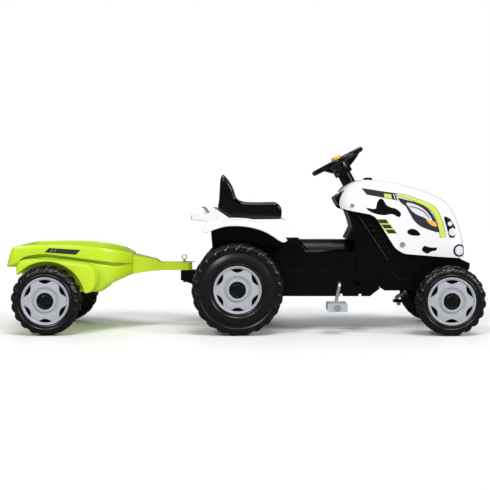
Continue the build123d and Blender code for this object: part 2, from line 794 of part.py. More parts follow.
# ---------------------------------------------------------------- rear cover and seat
cover_outline = rear(
    [
        (-142, 339),
        (-141, 358),
        (-129, 364),
        (-113, 375),
        (-102, 370),
        (-94, 360),
        (-84, 358),
        (-80, 372),
        (-69, 373),
        (-23, 342),
        (34, 339),
        (136, 341),
        (184, 293),
        (184, 284),
        (145, 284),
        (125, 296),
        (81, 320),
        (34, 332),
        (-28, 332),
        (-81, 320),
        (-91, 334),
    ]
)
mudguard_outline = rear(
    [
        (-104, 304),
        (-91, 335),
        (-20, 342),
        (34, 340),
        (81, 328),
        (125, 302),
        (148, 284),
        (143, 276),
        (125, 278),
        (96, 297),
        (66, 312),
        (22, 322),
        (-28, 323),
        (-81, 307),
    ]
)


def rear_cover():
    """The white deck under the seat, with a mudguard over each rear wheel and a raised tail."""
    frame_top, _ = hollow(seat_box_outline, seat_box_section, tail_x, front_axle_x, wall, 6)

    def deck(inset):
        return side_slab(cover_outline, -cover_half + inset, cover_half - inset)

    def guard(inset):
        return side_slab(mudguard_outline, frame_half + 20.5 + inset, mudguard_half - inset)

    skin = open_below(guard, hood_wall)
    cover = open_below(deck, hood_wall) + skin + mirror(skin, Plane.XZ) - frame_top
    return cover.solids().sort_by(SortBy.VOLUME)[-1]


seat_outline = rear(
    [
        (-58, 369),
        (-53, 470),
        (-48, 476),
        (-38, 470),
        (-26, 452),
        (-14, 424),
        (-4, 403),
        (14, 394),
        (44, 391.5),
        (112, 392),
        (126, 384),
        (133, 372),
        (133, 350),
        (129, 341.3),
        (-20, 342.4),
    ]
)


def seat():
    """A black moulded seat with a low back, hollow underneath."""
    block = side_slab(seat_outline, -seat_half, seat_half, corner=2)
    round_edges = [e for e in block.edges() if abs(abs(e.center().Y) - seat_half) < 0.01 and e.center().Z > 345]
    block = fillet(round_edges, 1.8)
    core = side_slab(seat_outline, -seat_half + wall, seat_half - wall, corner=2, inset=wall)
    return block - core - Pos(0, 0, -2 * wall) * core


# ---------------------------------------------------------------- hitch and trailer
hitch_x = rear_axle_x - 168.0
hitch_pin_radius = 4.0
bracket_top = 180.5
drawbar_low = 181.0
drawbar_high = 205.0
tub_half = 150.0
tub_wall = 3.5
tub_floor = 138.0
pin_lift = 75.0


def hitch_bracket():
    """A black tongue on the drive case's rear wall, bored for the hitch pin."""
    case_rear = rear_axle_x - 74
    outline = [
        (hitch_x - 10, bracket_top),
        (hitch_x - 10, 150),
        (hitch_x + 24, 138),
        (case_rear - 0.05, 130),
        (case_rear - 0.05, bracket_top - 4),
        (hitch_x + 26, bracket_top),
    ]
    return side_slab(outline, -22, 22) - rod_z(hitch_x, 0, hitch_pin_radius + running, 100, 200)


def hitch_pin():
    """A steel pin with a washer, a keeper tab and a pull ring on top."""
    pin = rod_z(hitch_x, 0, hitch_pin_radius, 141, drawbar_high + 10)
    pin += rod_z(hitch_x, 0, 9, drawbar_high + 0.3, drawbar_high + 2.3)
    pin += Pos(hitch_x + 17, 0, drawbar_high + 1.3) * Box(34, 8, 2)
    ring = Pos(hitch_x, 0, drawbar_high + 16) * Rot(90, 0, 0) * Torus(7, 1.6)
    return pin + ring


drawbar_side = (
    [(hitch_x + 24, drawbar_low), (hitch_x + 24, drawbar_high), (hitch_x - 74, drawbar_high), (hitch_x - 84, drawbar_high + 9)]
    + trailer([(241, 230), (241, 171)])
    + [(hitch_x - 110, 178), (hitch_x - 60, drawbar_low)]
)


def drawbar():
    """The green drawbar: a flat eye at the pin that deepens and widens to the tub."""
    root_x = trailer([(241, 0)])[0][0]
    plan = [
        (hitch_x + 24, -16),
        (hitch_x + 24, 16),
        (hitch_x + 14, 23),
        (hitch_x - 60, 24),
        (hitch_x - 90, 32),
        (root_x, 52),
        (root_x, -52),
        (hitch_x - 90, -32),
        (hitch_x - 60, -24),
        (hitch_x + 14, -23),
    ]
    bar = side_slab(drawbar_side, -60, 60) & plan_slab(plan, 100, 300)
    return bar - rod_z(hitch_x, 0, hitch_pin_radius + 0.6, 150, 250)


tub_side = trailer(
    [
        (241 - 0.05, 232),
        (215, 244),
        (148, 258),
        (83, 265),
        (-60, 268),
        (-108, 262),
        (-tub_tail, 197),
        (-94, 197),
        (-70, 140),
        (-56, 122),
        (150, 122),
        (172, 137),
        (195, 152),
        (241 - 0.05, 172),
    ]
)
tub_plan = [(-tub_tail, 118), (-105, tub_half), (110, tub_half), (205, 118), (241 - 0.05, 62)]
basin_side = [(214, 300), (200, 190), (176, 152), (160, tub_floor), (-62, tub_floor), (-74, tub_floor + 12), (-86, 300)]
basin_plan = [(-112, 104), (-92, 128), (104, 128), (180, 104), (214, 70)]
fender_side = trailer(
    [(-96, 196), (-80, 222), (-44, 238), (22, 233), (96, 222), (120, 205), (112, 150), (100, 123), (98, 123), (79, 174), (56, 200), (23, 214), (-22, 215), (-60, 203), (-87, 183)]
)
fender_out = 193.0


def both_halves(half_plan):
    """A full plan outline from its +Y half, placed at the trailer axle."""
    return trailer(half_plan + [(x, -y) for x, y in reversed(half_plan)])


def basin(grow=0.0):
    """The tub's inside as a solid, or that solid with the tub's wall added."""
    side = side_slab(trailer(basin_side), -tub_half, tub_half, inset=-grow)
    return side & plan_slab(both_halves(basin_plan), 100, 400, inset=-grow)


def tub_body(inset=0.0):
    side = side_slab(tub_side, -tub_half, tub_half, inset=inset)
    return side & plan_slab(both_halves(tub_plan), 100, 300, inset=inset)


def tub_fender():
    """A skin over the inner half of one wheel, with its outer edge turned down."""
    def block(inset):
        return side_slab(fender_side, tub_half - tub_wall + inset, fender_out - inset)

    skin = open_below(block, tub_wall)
    skin -= rod_y(trailer_axle_x, small_radius, small_radius + 9, tub_half + 0.5, fender_out + 1)
    return skin.solids().sort_by(SortBy.VOLUME)[-1]


def trailer_tub():
    """A green moulded tub: outer skin, basin, flared tail, and a fender over each wheel."""
    core = tub_body(tub_wall)
    fender = tub_fender()
    tub = tub_body() - core - Pos(0, 0, -2 * tub_wall) * core
    tub += basin(tub_wall) & tub_body()
    return tub + fender + mirror(fender, Plane.XZ) - basin()


def axle_brackets():
    """Two black blocks under the tub that clamp the trailer axle."""
    top = tub_floor - tub_wall - 0.05
    outline = trailer([(-24, top), (24, top), (15, small_radius - 12), (-15, small_radius - 12)])
    block = side_slab(outline, 104, 126)
    return both_sides(block - rod_y(trailer_axle_x, small_radius, axle_radius, 100, 130))


# ---------------------------------------------------------------- fasteners
def screw_y(x, z, y, radius, depth):
    """A round head on a side wall with its shank inside it, on the +Y side."""
    return rod_y(x, z, radius, y, y + 2.2) + rod_y(x, z, screw_radius - 0.05, y - depth, y)


def screw_up(x, y, z, depth):
    """A screw driven upwards, its head below the surface at z."""
    return rod_z(x, y, 5, z - 2.5, z) + rod_z(x, y, 2.2, z, z + depth)


# ---------------------------------------------------------------- write every node
def main():
    os.makedirs("parts", exist_ok=True)

    save("main_frame", main_frame())
    case = drive_case()
    save("drive_case", case)
    save("front_console", front_console())
    save("engine_panels", engine_panels())
    save("front_bumper", front_bumper())
    save("hitch_bracket", hitch_bracket())

    save("rear_cover", rear_cover())
    save("seat", seat())

    save("hood", hood())
    block = hood_solid()
    housing = side_slab(front(lamp_outline), -2 * hood_half, 2 * hood_half, corner=4)
    fog = lamp_disc(fog_x, fog_z, fog_radius)
    save("lamp_housings", hood_skin(housing, 0.05, 1.5, block), hood_skin(fog, 0.05, 1.5, block))
    lamps = [lamp_disc(x, z, r) for x, z, r in lamp_places] + [lamp_disc(fog_x, fog_z, fog_radius - 5)]
    save("lamp_lenses", *[hood_skin(lamp, 1.6, 2.0, block) for lamp in lamps])
    save("filler_cap", filler_cap())
    save("hood_screws", *hood_screws())

    save("steering_wheel", steering_wheel())
    save("steering_rod", steering_rod())
    save("column_sleeve", column_sleeve())
    save("column_bushes", column_bushes())
    save("horn_button", horn_button())
    save("horn_spring", horn_spring())

    save("front_axle_beam", front_axle_beam())
    save("kingpins", kingpins())
    save("tie_bar", tie_bar())
    for side, name in ((1, "left"), (-1, "right")):
        save(f"knuckle_{name}", knuckle(side))
        save(f"stub_axle_{name}", *stub_axle(side))
        save_wheel(f"front_{name}", small_radius, small_width, front_axle_x, side * small_y)
        save_wheel(f"rear_{name}", big_radius, big_width, rear_axle_x, side * big_y)
        save_wheel(f"trailer_{name}", small_radius, small_width, trailer_axle_x, side * small_y)
        save(f"pedal_{name}", pedal(side))

    end = axle_end(big_width, big_y)
    nuts = [push_nut(rear_axle_x, side * (end + 1), big_radius) for side in (-1, 1)]
    save("rear_axle", rod_y(rear_axle_x, big_radius, axle_radius, -end, end), *nuts)
    save("axle_sprocket", sprocket(axle_teeth, rear_axle_x, big_radius, axle_radius))
    save("crank_rod", crank_rod(), pedal_nut(-1), pedal_nut(1))
    save("crank_sprocket", sprocket(crank_teeth, crank_x, crank_height, crank_rod_radius))
    save("drive_chain", chain())
    bushes = []
    for side in (-1, 1):
        bushes.append(bush(rear_axle_x, big_radius, bush_face, side, axle_radius, 12))
        bushes.append(bush(crank_x, crank_height, bush_face, side, crank_rod_radius, 12))
    save("drive_bushes", *bushes)

    save("hitch_pin", hitch_pin())
    save("drawbar", drawbar())
    save("trailer_tub", trailer_tub())
    save("axle_brackets", axle_brackets())
    end = axle_end(small_width, small_y)
    nuts = [push_nut(trailer_axle_x, side * (end + 1), small_radius) for side in (-1, 1)]
    save("trailer_axle", rod_y(trailer_axle_x, small_radius, axle_radius, -end, end), *nuts)


bush_face = case_half + 0.05
lamp_outline = [(-8, 352), (13, 343), (29, 317), (33, 299), (25, 285), (11, 286), (-1, 327)]
lamp_places = [(12, 327, 7), (20, 302, 12)]
fog_x, fog_z, fog_radius = 42.0, 246.0, 19.0


def filler_cap():
    """A low round cap on the hood's crown."""
    cap = rod_z(front_axle_x - 227, 0, 17, 440, 467.5)
    return cap - Pos(0, 0, 0.05) * hood_solid()


def hood_screws():
    """Two screws each side that hold the hood to the console."""
    sizes = (6, 8)
    made = []
    for (x, z), head in zip(hood_screw_places, sizes):
        screw = screw_y(front_axle_x + x, z, hood_half + 0.05, head, 14)
        made += [screw, mirror(screw, Plane.XZ)]
    return made


if __name__ == "__main__":
    main()
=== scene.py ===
"""A child's black and white pedal tractor with a lime-green trailer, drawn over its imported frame."""

from math import cos, pi, radians, sin, sqrt

import bmesh
import bpy
from mathutils import Matrix, Vector
from mathutils.bvhtree import BVHTree


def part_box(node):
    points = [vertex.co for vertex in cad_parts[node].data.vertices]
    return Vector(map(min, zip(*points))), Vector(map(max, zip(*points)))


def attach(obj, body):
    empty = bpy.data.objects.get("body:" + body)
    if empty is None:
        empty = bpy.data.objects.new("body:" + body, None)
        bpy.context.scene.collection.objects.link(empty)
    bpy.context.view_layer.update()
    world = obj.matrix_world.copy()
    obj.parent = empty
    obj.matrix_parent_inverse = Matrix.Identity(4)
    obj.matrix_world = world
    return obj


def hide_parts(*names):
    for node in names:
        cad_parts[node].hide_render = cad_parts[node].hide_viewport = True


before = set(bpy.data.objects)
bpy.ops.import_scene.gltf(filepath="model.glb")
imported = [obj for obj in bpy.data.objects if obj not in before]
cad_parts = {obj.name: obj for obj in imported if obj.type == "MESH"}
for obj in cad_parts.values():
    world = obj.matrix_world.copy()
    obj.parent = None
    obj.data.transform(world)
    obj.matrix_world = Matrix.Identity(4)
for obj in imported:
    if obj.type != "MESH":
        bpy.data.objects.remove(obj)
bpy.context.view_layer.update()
SIDES = {"left": 1, "right": -1}

# ---- Floor, light and camera. A pale sweep of floor under broad soft lights. The camera stands
# on the right-hand side of the tractor, a little above its hood, and looks slightly down.


def new_material(name, base, roughness, metallic=0.0, coat=0.0, shine=0.5):
    """A Principled material with its own flat values, returned with its shader node."""
    material = bpy.data.materials.new(name)
    material.use_nodes = True
    shader = material.node_tree.nodes["Principled BSDF"]
    shader.inputs["Base Color"].default_value = (*base, 1)
    shader.inputs["Roughness"].default_value = roughness
    shader.inputs["Metallic"].default_value = metallic
    shader.inputs["Specular IOR Level"].default_value = shine
    shader.inputs["Coat Weight"].default_value = coat
    shader.inputs["Coat Roughness"].default_value = 0.08
    return material, shader


def wired(tree, kind, inputs, **settings):
    """A new node in a tree, with its settings made and its inputs linked or set to a value."""
    node = tree.nodes.new(kind)
    for setting, value in settings.items():
        setattr(node, setting, value)
    for place, source in inputs.items():
        if isinstance(source, bpy.types.NodeSocket):
            tree.links.new(source, node.inputs[place])
        else:
            node.inputs[place].default_value = source
    return node


floor_finish, floor_shader = new_material("studio_floor", (0.98, 0.98, 0.985), 0.6)
# black cloth beside the camera: the floor is dim where glossy plastic mirrors it
finish_tree = floor_finish.node_tree
glossy = finish_tree.nodes.new("ShaderNodeLightPath").outputs["Is Glossy Ray"]
cloth = wired(finish_tree, "ShaderNodeBsdfDiffuse", {"Color": (0.16, 0.16, 0.16, 1)})
choose = wired(finish_tree, "ShaderNodeMixShader", {0: glossy, 1: floor_shader.outputs[0], 2: cloth.outputs[0]})
finish_tree.links.new(choose.outputs[0], finish_tree.nodes["Material Output"].inputs["Surface"])
bpy.ops.mesh.primitive_plane_add(size=14, location=(0, 2.0, -0.0004))
floor = bpy.context.object
floor.name = "studio_floor"
floor.data.materials.append(floor_finish)

world = bpy.data.worlds.new("studio_air")
bpy.context.scene.world = world
world.use_nodes = True
background = world.node_tree.nodes["Background"]
background.inputs["Color"].default_value = (1, 1, 1, 1)
# the air is white to look at, soft as a light, and dim in reflections, so that glossy black stays black
IN_REFLECTIONS, MORE_AS_LIGHT, MORE_TO_LOOK_AT = 0.12, 0.24, 0.88
seen = world.node_tree.nodes.new("ShaderNodeLightPath")
level = IN_REFLECTIONS
for kind, more in (("Is Diffuse Ray", MORE_AS_LIGHT), ("Is Camera Ray", MORE_TO_LOOK_AT)):
    terms = {0: seen.outputs[kind], 1: more, 2: level}
    level = wired(world.node_tree, "ShaderNodeMath", terms, operation="MULTIPLY_ADD").outputs[0]
world.node_tree.links.new(level, background.inputs["Strength"])
bpy.context.scene.view_settings.view_transform = "Standard"


def soft_sun(name, bearing, height, strength, spread):
    """A far light of soft edge. Bearing is its compass angle from +X, height its angle over the floor."""
    lamp = bpy.data.lights.new(name, "SUN")
    lamp.energy, lamp.angle = strength, radians(spread)
    sun = bpy.data.objects.new(name, lamp)
    bpy.context.collection.objects.link(sun)
    b, h = radians(bearing), radians(height)
    sun.rotation_euler = Vector((cos(b) * cos(h), sin(b) * cos(h), sin(h))).to_track_quat("Z", "Y").to_euler()


soft_sun("key_light", -75, 60, 1.35, 24)
soft_sun("side_light_front", -32, 26, 1.2, 20)
soft_sun("side_light_rear", -118, 35, 1.0, 12)
soft_sun("back_light", 95, 42, 0.4, 40)

camera_data = bpy.data.cameras.new("camera")
camera_data.lens = 85.4
camera = bpy.data.objects.new("camera", camera_data)
bpy.context.collection.objects.link(camera)
camera.location = (0.0248, -3.61, 0.438)
camera.rotation_euler = (radians(90 - 2.86), 0, radians(0.35))
bpy.context.scene.camera = camera

# ---- Black frame mouldings: seat box and beam, drive case, console with the nose, bumper and
# hitch bracket. Satin injection-moulded polypropylene with rounded edges and a fine grain
# that shows dust and handling marks.
FRAME_EDGE = 0.0022


def effect_group(name, inputs, outputs):
    """An empty shader node group with named sockets, and its input and output nodes."""
    group = bpy.data.node_groups.new(name, "ShaderNodeTree")
    for label, kind, value in inputs:
        group.interface.new_socket(label, in_out="INPUT", socket_type=kind).default_value = value
    for label, kind in outputs:
        group.interface.new_socket(label, in_out="OUTPUT", socket_type=kind)
    return group, group.nodes.new("NodeGroupInput"), group.nodes.new("NodeGroupOutput")


def noise(tree, scale, detail=3.0, rough=0.5):
    """The value of a noise texture that is fixed to the object."""
    place = tree.nodes.new("ShaderNodeTexCoord").outputs["Object"]
    values = {"Vector": place, "Scale": scale, "Detail": detail, "Roughness": rough}
    return wired(tree, "ShaderNodeTexNoise", values).outputs["Fac"]


def moulded_skin_group():
    """Grain height, a mottled roughness and a slight change of colour for moulded plastic."""
    group, enter, leave = effect_group(
        "moulded_skin",
        [
            ("Color", "NodeSocketColor", (0.5, 0.5, 0.5, 1)),
            ("Dust Color", "NodeSocketColor", (0.5, 0.5, 0.5, 1)),
            ("Dust", "NodeSocketFloat", 0.1),
            ("Roughness", "NodeSocketFloat", 0.4),
            ("Mottle", "NodeSocketFloat", 0.1),
            ("Grain Scale", "NodeSocketFloat", 900.0),
        ],
        [("Color", "NodeSocketColor"), ("Roughness", "NodeSocketFloat"), ("Height", "NodeSocketFloat")],
    )
    given = enter.outputs
    grain = noise(group, given["Grain Scale"], 2)
    cloudy, specks = noise(group, 9, 5, 0.6), noise(group, 160, 2, 0.7)
    # dust lies where the cloudy and the speckled noise are both high
    both = wired(group, "ShaderNodeMath", {0: cloudy, 1: specks}, operation="MULTIPLY").outputs[0]
    high = wired(group, "ShaderNodeMapRange", {"Value": both, "From Min": 0.22, "From Max": 0.42}).outputs["Result"]
    dusty = wired(group, "ShaderNodeMath", {0: high, 1: given["Dust"]}, operation="MULTIPLY").outputs[0]
    colors = {"Factor": dusty, "A": given["Color"], "B": given["Dust Color"]}
    tint = wired(group, "ShaderNodeMix", colors, data_type="RGBA")
    terms = {0: cloudy, 1: given["Mottle"], 2: given["Roughness"]}
    uneven = wired(group, "ShaderNodeMath", terms, operation="MULTIPLY_ADD")
    for source, label in ((tint.outputs["Result"], "Color"), (uneven.outputs[0], "Roughness"), (grain, "Height")):
        group.links.new(source, leave.inputs[label])
    return group


MOULDED_SKIN = moulded_skin_group()


def apply_effect(material, shader, group, bump_strength, bump_depth, **values):
    """Puts a shared effect in a material with its own values, and feeds the shader from it."""
    tree = material.node_tree
    effect = tree.nodes.new("ShaderNodeGroup")
    effect.node_tree = group
    for label, value in values.items():
        effect.inputs[label.replace("_", " ")].default_value = value
    for source, target in (("Color", "Base Color"), ("Roughness", "Roughness")):
        if source in effect.outputs:
            tree.links.new(effect.outputs[source], shader.inputs[target])
    height = {"Height": effect.outputs["Height"], "Strength": bump_strength, "Distance": bump_depth}
    tree.links.new(wired(tree, "ShaderNodeBump", height).outputs["Normal"], shader.inputs["Normal"])


def moulded_material(
    name, color, roughness, coat=0.0, dust=0.1, mottle=0.12, grain=900.0, bump=0.05, dust_color=None, shine=0.5
):
    """Moulded plastic: the shared skin effect with this plastic's own values."""
    material, shader = new_material(name, color, roughness, coat=coat, shine=shine)
    apply_effect(
        material, shader, MOULDED_SKIN, bump, 0.0006,
        Color=(*color, 1), Dust_Color=(*(dust_color or [0.5 * c + 0.08 for c in color]), 1), Dust=dust,
        Roughness=roughness - 0.5 * mottle, Mottle=mottle, Grain_Scale=grain,
    )
    return material


frame_black = moulded_material(
    "frame_black", (0.0016, 0.0016, 0.0018), 0.28, dust=0.12, dust_color=(0.008, 0.008, 0.0085), shine=0.2,
)


def settle(piece, body, material, slot, *nodes):
    """Gives a finished piece its material and body, and hides the nodes it stands for. The slot is not used."""
    if material is not None:
        piece.data.materials.clear()
        piece.data.materials.append(material)
    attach(piece, body)
    if nodes:
        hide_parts(*nodes)
    return piece


def new_piece(name, shape):
    """A mesh object from a bmesh, smooth-shaded with its creases kept sharp."""
    mesh = bpy.data.meshes.new(name)
    shape.to_mesh(mesh)
    shape.free()
    mesh.shade_smooth()
    mesh.set_sharp_from_angle(angle=radians(32))
    piece = bpy.data.objects.new(name, mesh)
    bpy.context.collection.objects.link(piece)
    return piece


def bevelled(piece, width, segments=3, angle=30):
    """Rounds a piece's hard edges."""
    edge = piece.modifiers.new("edge", "BEVEL")
    edge.width, edge.segments = width, segments
    edge.limit_method, edge.angle_limit = "ANGLE", radians(angle)
    edge.use_clamp_overlap = True
    edge.harden_normals = True
    return piece


def soften_corners(shape, width, wanted):
    """Turns corners of a side outline into curves: the wanted edges among those across the width."""
    def across():
        for edge in shape.edges:
            start, end = (v.co for v in edge.verts)
            if abs(start.y - end.y) > 0.98 * edge.calc_length() and wanted((start + end) / 2, edge.calc_length()):
                yield edge

    small_arcs = {v for edge in across() for v in edge.verts}
    bmesh.ops.remove_doubles(shape, verts=list(small_arcs), dist=0.0028)
    bmesh.ops.bevel(
        shape, geom=list(across()), offset=width, offset_type="OFFSET", segments=6, profile=0.5,
        affect="EDGES", clamp_overlap=True,
    )


def clean_shape(node, flat_angle):
    """A CAD node's shape with its corners merged and its flat faces whole."""
    shape = bmesh.new()
    shape.from_mesh(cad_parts[node].data)
    bmesh.ops.remove_doubles(shape, verts=shape.verts, dist=2e-5)
    bmesh.ops.dissolve_limit(shape, angle_limit=radians(flat_angle), verts=shape.verts, edges=shape.edges)
    return shape


def moulding(node, body, edge, material, slot, corners=None):
    """A CAD node's shape as one clean moulding with rounded edges, and some corners softened more."""
    shape = clean_shape(node, 0.6)
    if corners:
        soften_corners(shape, *corners)
    piece = bevelled(new_piece(node + "_moulding", shape), edge)
    return settle(piece, body, material, slot, node)


for node in ("main_frame", "drive_case", "front_bumper", "hitch_bracket", "engine_panels"):
    moulding(node, "tractor", FRAME_EDGE, frame_black, "black")
console_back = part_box("front_console")[0].x


def on_console_back(at, long):
    """Whether an edge runs right across the console's rear face, below the dash."""
    return long > 0.14 and at.x < console_back + 0.065 and 0.3 < at.z < 0.3695


moulding("front_console", "tractor", FRAME_EDGE, frame_black, "black", (0.011, on_console_back))
for node in ("front_axle_beam", "column_sleeve"):
    moulding(node, "tractor", 0.0012, frame_black, "black")
for side in SIDES:
    moulding(f"knuckle_{side}", f"knuckle_{side[0]}", 0.0012, frame_black, "black")
moulding("tie_bar", "tie", 0.0012, frame_black, "black")
moulding("axle_brackets", "trailer", 0.0015, frame_black, "black")

# ---- Wheels. Blow-moulded black plastic tyres with tread lugs, each with a pale grey hubcap
# pressed into its outer side and a black cap pushed over the axle's end.
tyre_black = moulded_material(
    "tyre_black", (0.004, 0.004, 0.0045), 0.30, dust=0.2, mottle=0.16, bump=0.10, dust_color=(0.016, 0.016, 0.017),
    shine=0.45,
)
hubcap_grey = moulded_material(
    "hubcap_grey", (0.36, 0.375, 0.41), 0.3, coat=0.3, dust=0.12, dust_color=(0.3, 0.32, 0.35),
)
cap_black = moulded_material("cap_black", (0.004, 0.004, 0.0045), 0.28, dust_color=(0.015, 0.015, 0.016), shine=0.22)


def rounded(points, radius, steps=4):
    """A closed outline with each corner turned into a short curve."""
    result = []
    for k, corner in enumerate(points):
        here = Vector(corner)
        before, after = Vector(points[k - 1]), Vector(points[(k + 1) % len(points)])
        cut = min(radius, (before - here).length * 0.45, (after - here).length * 0.45)
        start = here + (before - here).normalized() * cut
        stop = here + (after - here).normalized() * cut
        for s in range(steps + 1):
            t = s / steps
            result.append(tuple(start * (1 - t) ** 2 + here * 2 * t * (1 - t) + stop * t**2))
    return result


def walls_between(shape, rings, skip=()):
    """Faces between each ring of points and the next. A ring may be one point."""
    for row, (a, b) in enumerate(zip(rings, rings[1:])):
        count = max(len(a), len(b))
        for k in range(count if row not in skip and count > 1 else 0):
            n = (k + 1) % count
            if len(a) == 1:
                shape.faces.new((a[0], b[n], b[k]))
            elif len(b) == 1:
                shape.faces.new((a[k], a[n], b[0]))
            else:
                shape.faces.new((a[k], a[n], b[n], b[k]))


def turned(name, profile, centre, outward, around=96, closed=True):
    """A piece turned about a wheel's axle. The profile is (radius, distance out) in metres."""
    shape = bmesh.new()
    rings = []
    for radius, out in profile:
        y = centre[1] + outward * out
        if radius < 1e-6:
            rings.append([shape.verts.new((centre[0], y, centre[2]))])
            continue
        ring = []
        for k in range(around):
            a = 2 * pi * k / around
            ring.append(shape.verts.new((centre[0] + radius * sin(a), y, centre[2] + radius * cos(a))))
        rings.append(ring)
    walls_between(shape, rings + rings[:1] if closed else rings)
    bmesh.ops.recalc_face_normals(shape, faces=shape.faces)
    return new_piece(name, shape)


def repeat_round_axle():
    """A node tree that copies its mesh round an axle along Y and gives it a material."""
    tree = bpy.data.node_groups.new("repeat_round_axle", "GeometryNodeTree")
    for label, kind in (("Lug", "Geometry"), ("Count", "Int"), ("Centre", "Vector"), ("Finish", "Material")):
        tree.interface.new_socket(label, in_out="INPUT", socket_type="NodeSocket" + kind)
    tree.interface.new_socket("Lugs", in_out="OUTPUT", socket_type="NodeSocketGeometry")
    given = tree.nodes.new("NodeGroupInput").outputs
    whole = wired(tree, "GeometryNodeGeometryToInstance", {0: given["Lug"]})
    many = {"Geometry": whole.outputs[0], "Amount": given["Count"]}
    copies = wired(tree, "GeometryNodeDuplicateElements", many, domain="INSTANCE").outputs
    step = wired(tree, "ShaderNodeMath", {0: 2 * pi, 1: given["Count"]}, operation="DIVIDE").outputs[0]
    angle = wired(tree, "ShaderNodeMath", {0: step, 1: copies["Duplicate Index"]}, operation="MULTIPLY").outputs[0]
    turn = {
        "Instances": copies["Geometry"], "Rotation": wired(tree, "ShaderNodeCombineXYZ", {"Y": angle}).outputs[0],
        "Pivot Point": given["Centre"], "Local Space": False,
    }
    real = wired(
        tree, "GeometryNodeRealizeInstances", {0: wired(tree, "GeometryNodeRotateInstances", turn).outputs[0]},
    )
    finish = wired(tree, "GeometryNodeSetMaterial", {"Geometry": real.outputs[0], "Material": given["Finish"]})
    tree.links.new(finish.outputs[0], tree.nodes.new("NodeGroupOutput").inputs[0])
    return tree


REPEAT_ROUND_AXLE = repeat_round_axle()


def grown(seed, tree, **values):
    """Runs a node tree on a seed piece and returns the plain mesh piece that it makes."""
    work = seed.modifiers.new("grow", "NODES")
    work.node_group = tree
    sockets = {s.name: s.identifier for s in tree.interface.items_tree if s.in_out == "INPUT"}
    for label, value in values.items():
        work[sockets[label.replace("_", " ")]] = value
    bpy.context.view_layer.update()
    seen = seed.evaluated_get(bpy.context.evaluated_depsgraph_get())
    mesh = bpy.data.meshes.new_from_object(seen)
    name = seed.name
    seed.modifiers.clear()
    bpy.data.objects.remove(seed)
    piece = bpy.data.objects.new(name, mesh)
    bpy.context.collection.objects.link(piece)
    return piece


def lug_seed(name, centre, outward, radius, half_width, sweep, lead, width, depth, foot):
    """One tread lug: a bent bar from the shoulder across the tread towards the middle."""
    shape = bmesh.new()
    rows = []
    path = [
        (foot, half_width + 0.0006, 0.0), (radius - 0.010, half_width - 0.0012, 0.1),
        (radius - 0.0035, half_width - 0.006, 0.3), (radius, half_width - 0.013, 0.6), (radius, 0.002, 1.0),
    ]
    for place, (reach, out, share) in enumerate(path):
        angle = lead + sweep * share
        half = 0.5 * width * (0.75 if place in (0, len(path) - 1) else 1.0) / reach
        row = []
        for sign, drop in ((-1.25, depth), (-1, 0.0008), (-0.7, 0), (0.7, 0), (1, 0.0008), (1.25, depth)):
            r = reach - drop * (0.25 if place == 0 else 1)
            y = out - (0.6 * drop if place < 2 else 0)
            a = angle + sign * half
            row.append(shape.verts.new((centre[0] + r * sin(a), centre[1] + outward * y, centre[2] + r * cos(a))))
        rows.append(row)
    for a, b in zip(rows, rows[1:]):
        for k in range(len(a) - 1):
            shape.faces.new((a[k], a[k + 1], b[k + 1], b[k]))
        shape.faces.new((a[-1], a[0], b[0], b[-1]))
    shape.faces.new(rows[0])
    shape.faces.new(rows[-1])
    bmesh.ops.recalc_face_normals(shape, faces=shape.faces)
    return new_piece(name, shape)


def tyre_profile(radius, half, big):
    """Half section of a tyre's outside, from the hubcap's seat over the tread to the inner web."""
    if big:
        wall = [
            (0.0735, half - 0.002), (0.0765, half - 0.0005), (0.0785, half - 0.0035), (0.0815, half - 0.0010),
            (0.085, half), (0.090, half - 0.0006), (0.096, half - 0.0021), (0.102, half - 0.0042),
            (0.108, half - 0.0064), (0.1125, half - 0.0066), (0.116, half - 0.0046), (0.120, half - 0.0045),
        ]
    else:
        wall = [
            (0.0735, half - 0.0015), (0.0765, half), (0.0785, half - 0.0022), (0.081, half - 0.0022),
            (0.083, half - 0.0004), (0.0875, half - 0.0004), (0.0895, half - 0.003),
        ]
    shoulder = [(radius - 0.010, half - 0.0045), (radius - 0.0055, half - 0.009), (radius - 0.0042, half - 0.016)]
    crown = shoulder + [(r, -out) for r, out in shoulder[::-1]]
    inner = [
        (radius - 0.024, -half + 0.0005), (0.072, -half + 0.001), (0.060, -half + 0.0095), (0.017, -half + 0.0095),
        (0.015, -half), (0.00608, -half), (0.00608, half - 0.0122), (0.015, half - 0.0122), (0.015, -half + 0.014),
        (0.058, -half + 0.014), (0.0695, -half + 0.006), (0.0695, half - 0.0092),
    ]
    seat = [(0.0642, half - 0.0092), (0.0642, half - 0.0088), (0.0709, half - 0.0088), (0.0712, half - 0.002)]
    return wall + crown + inner + seat


WINDOW_ROW = 8


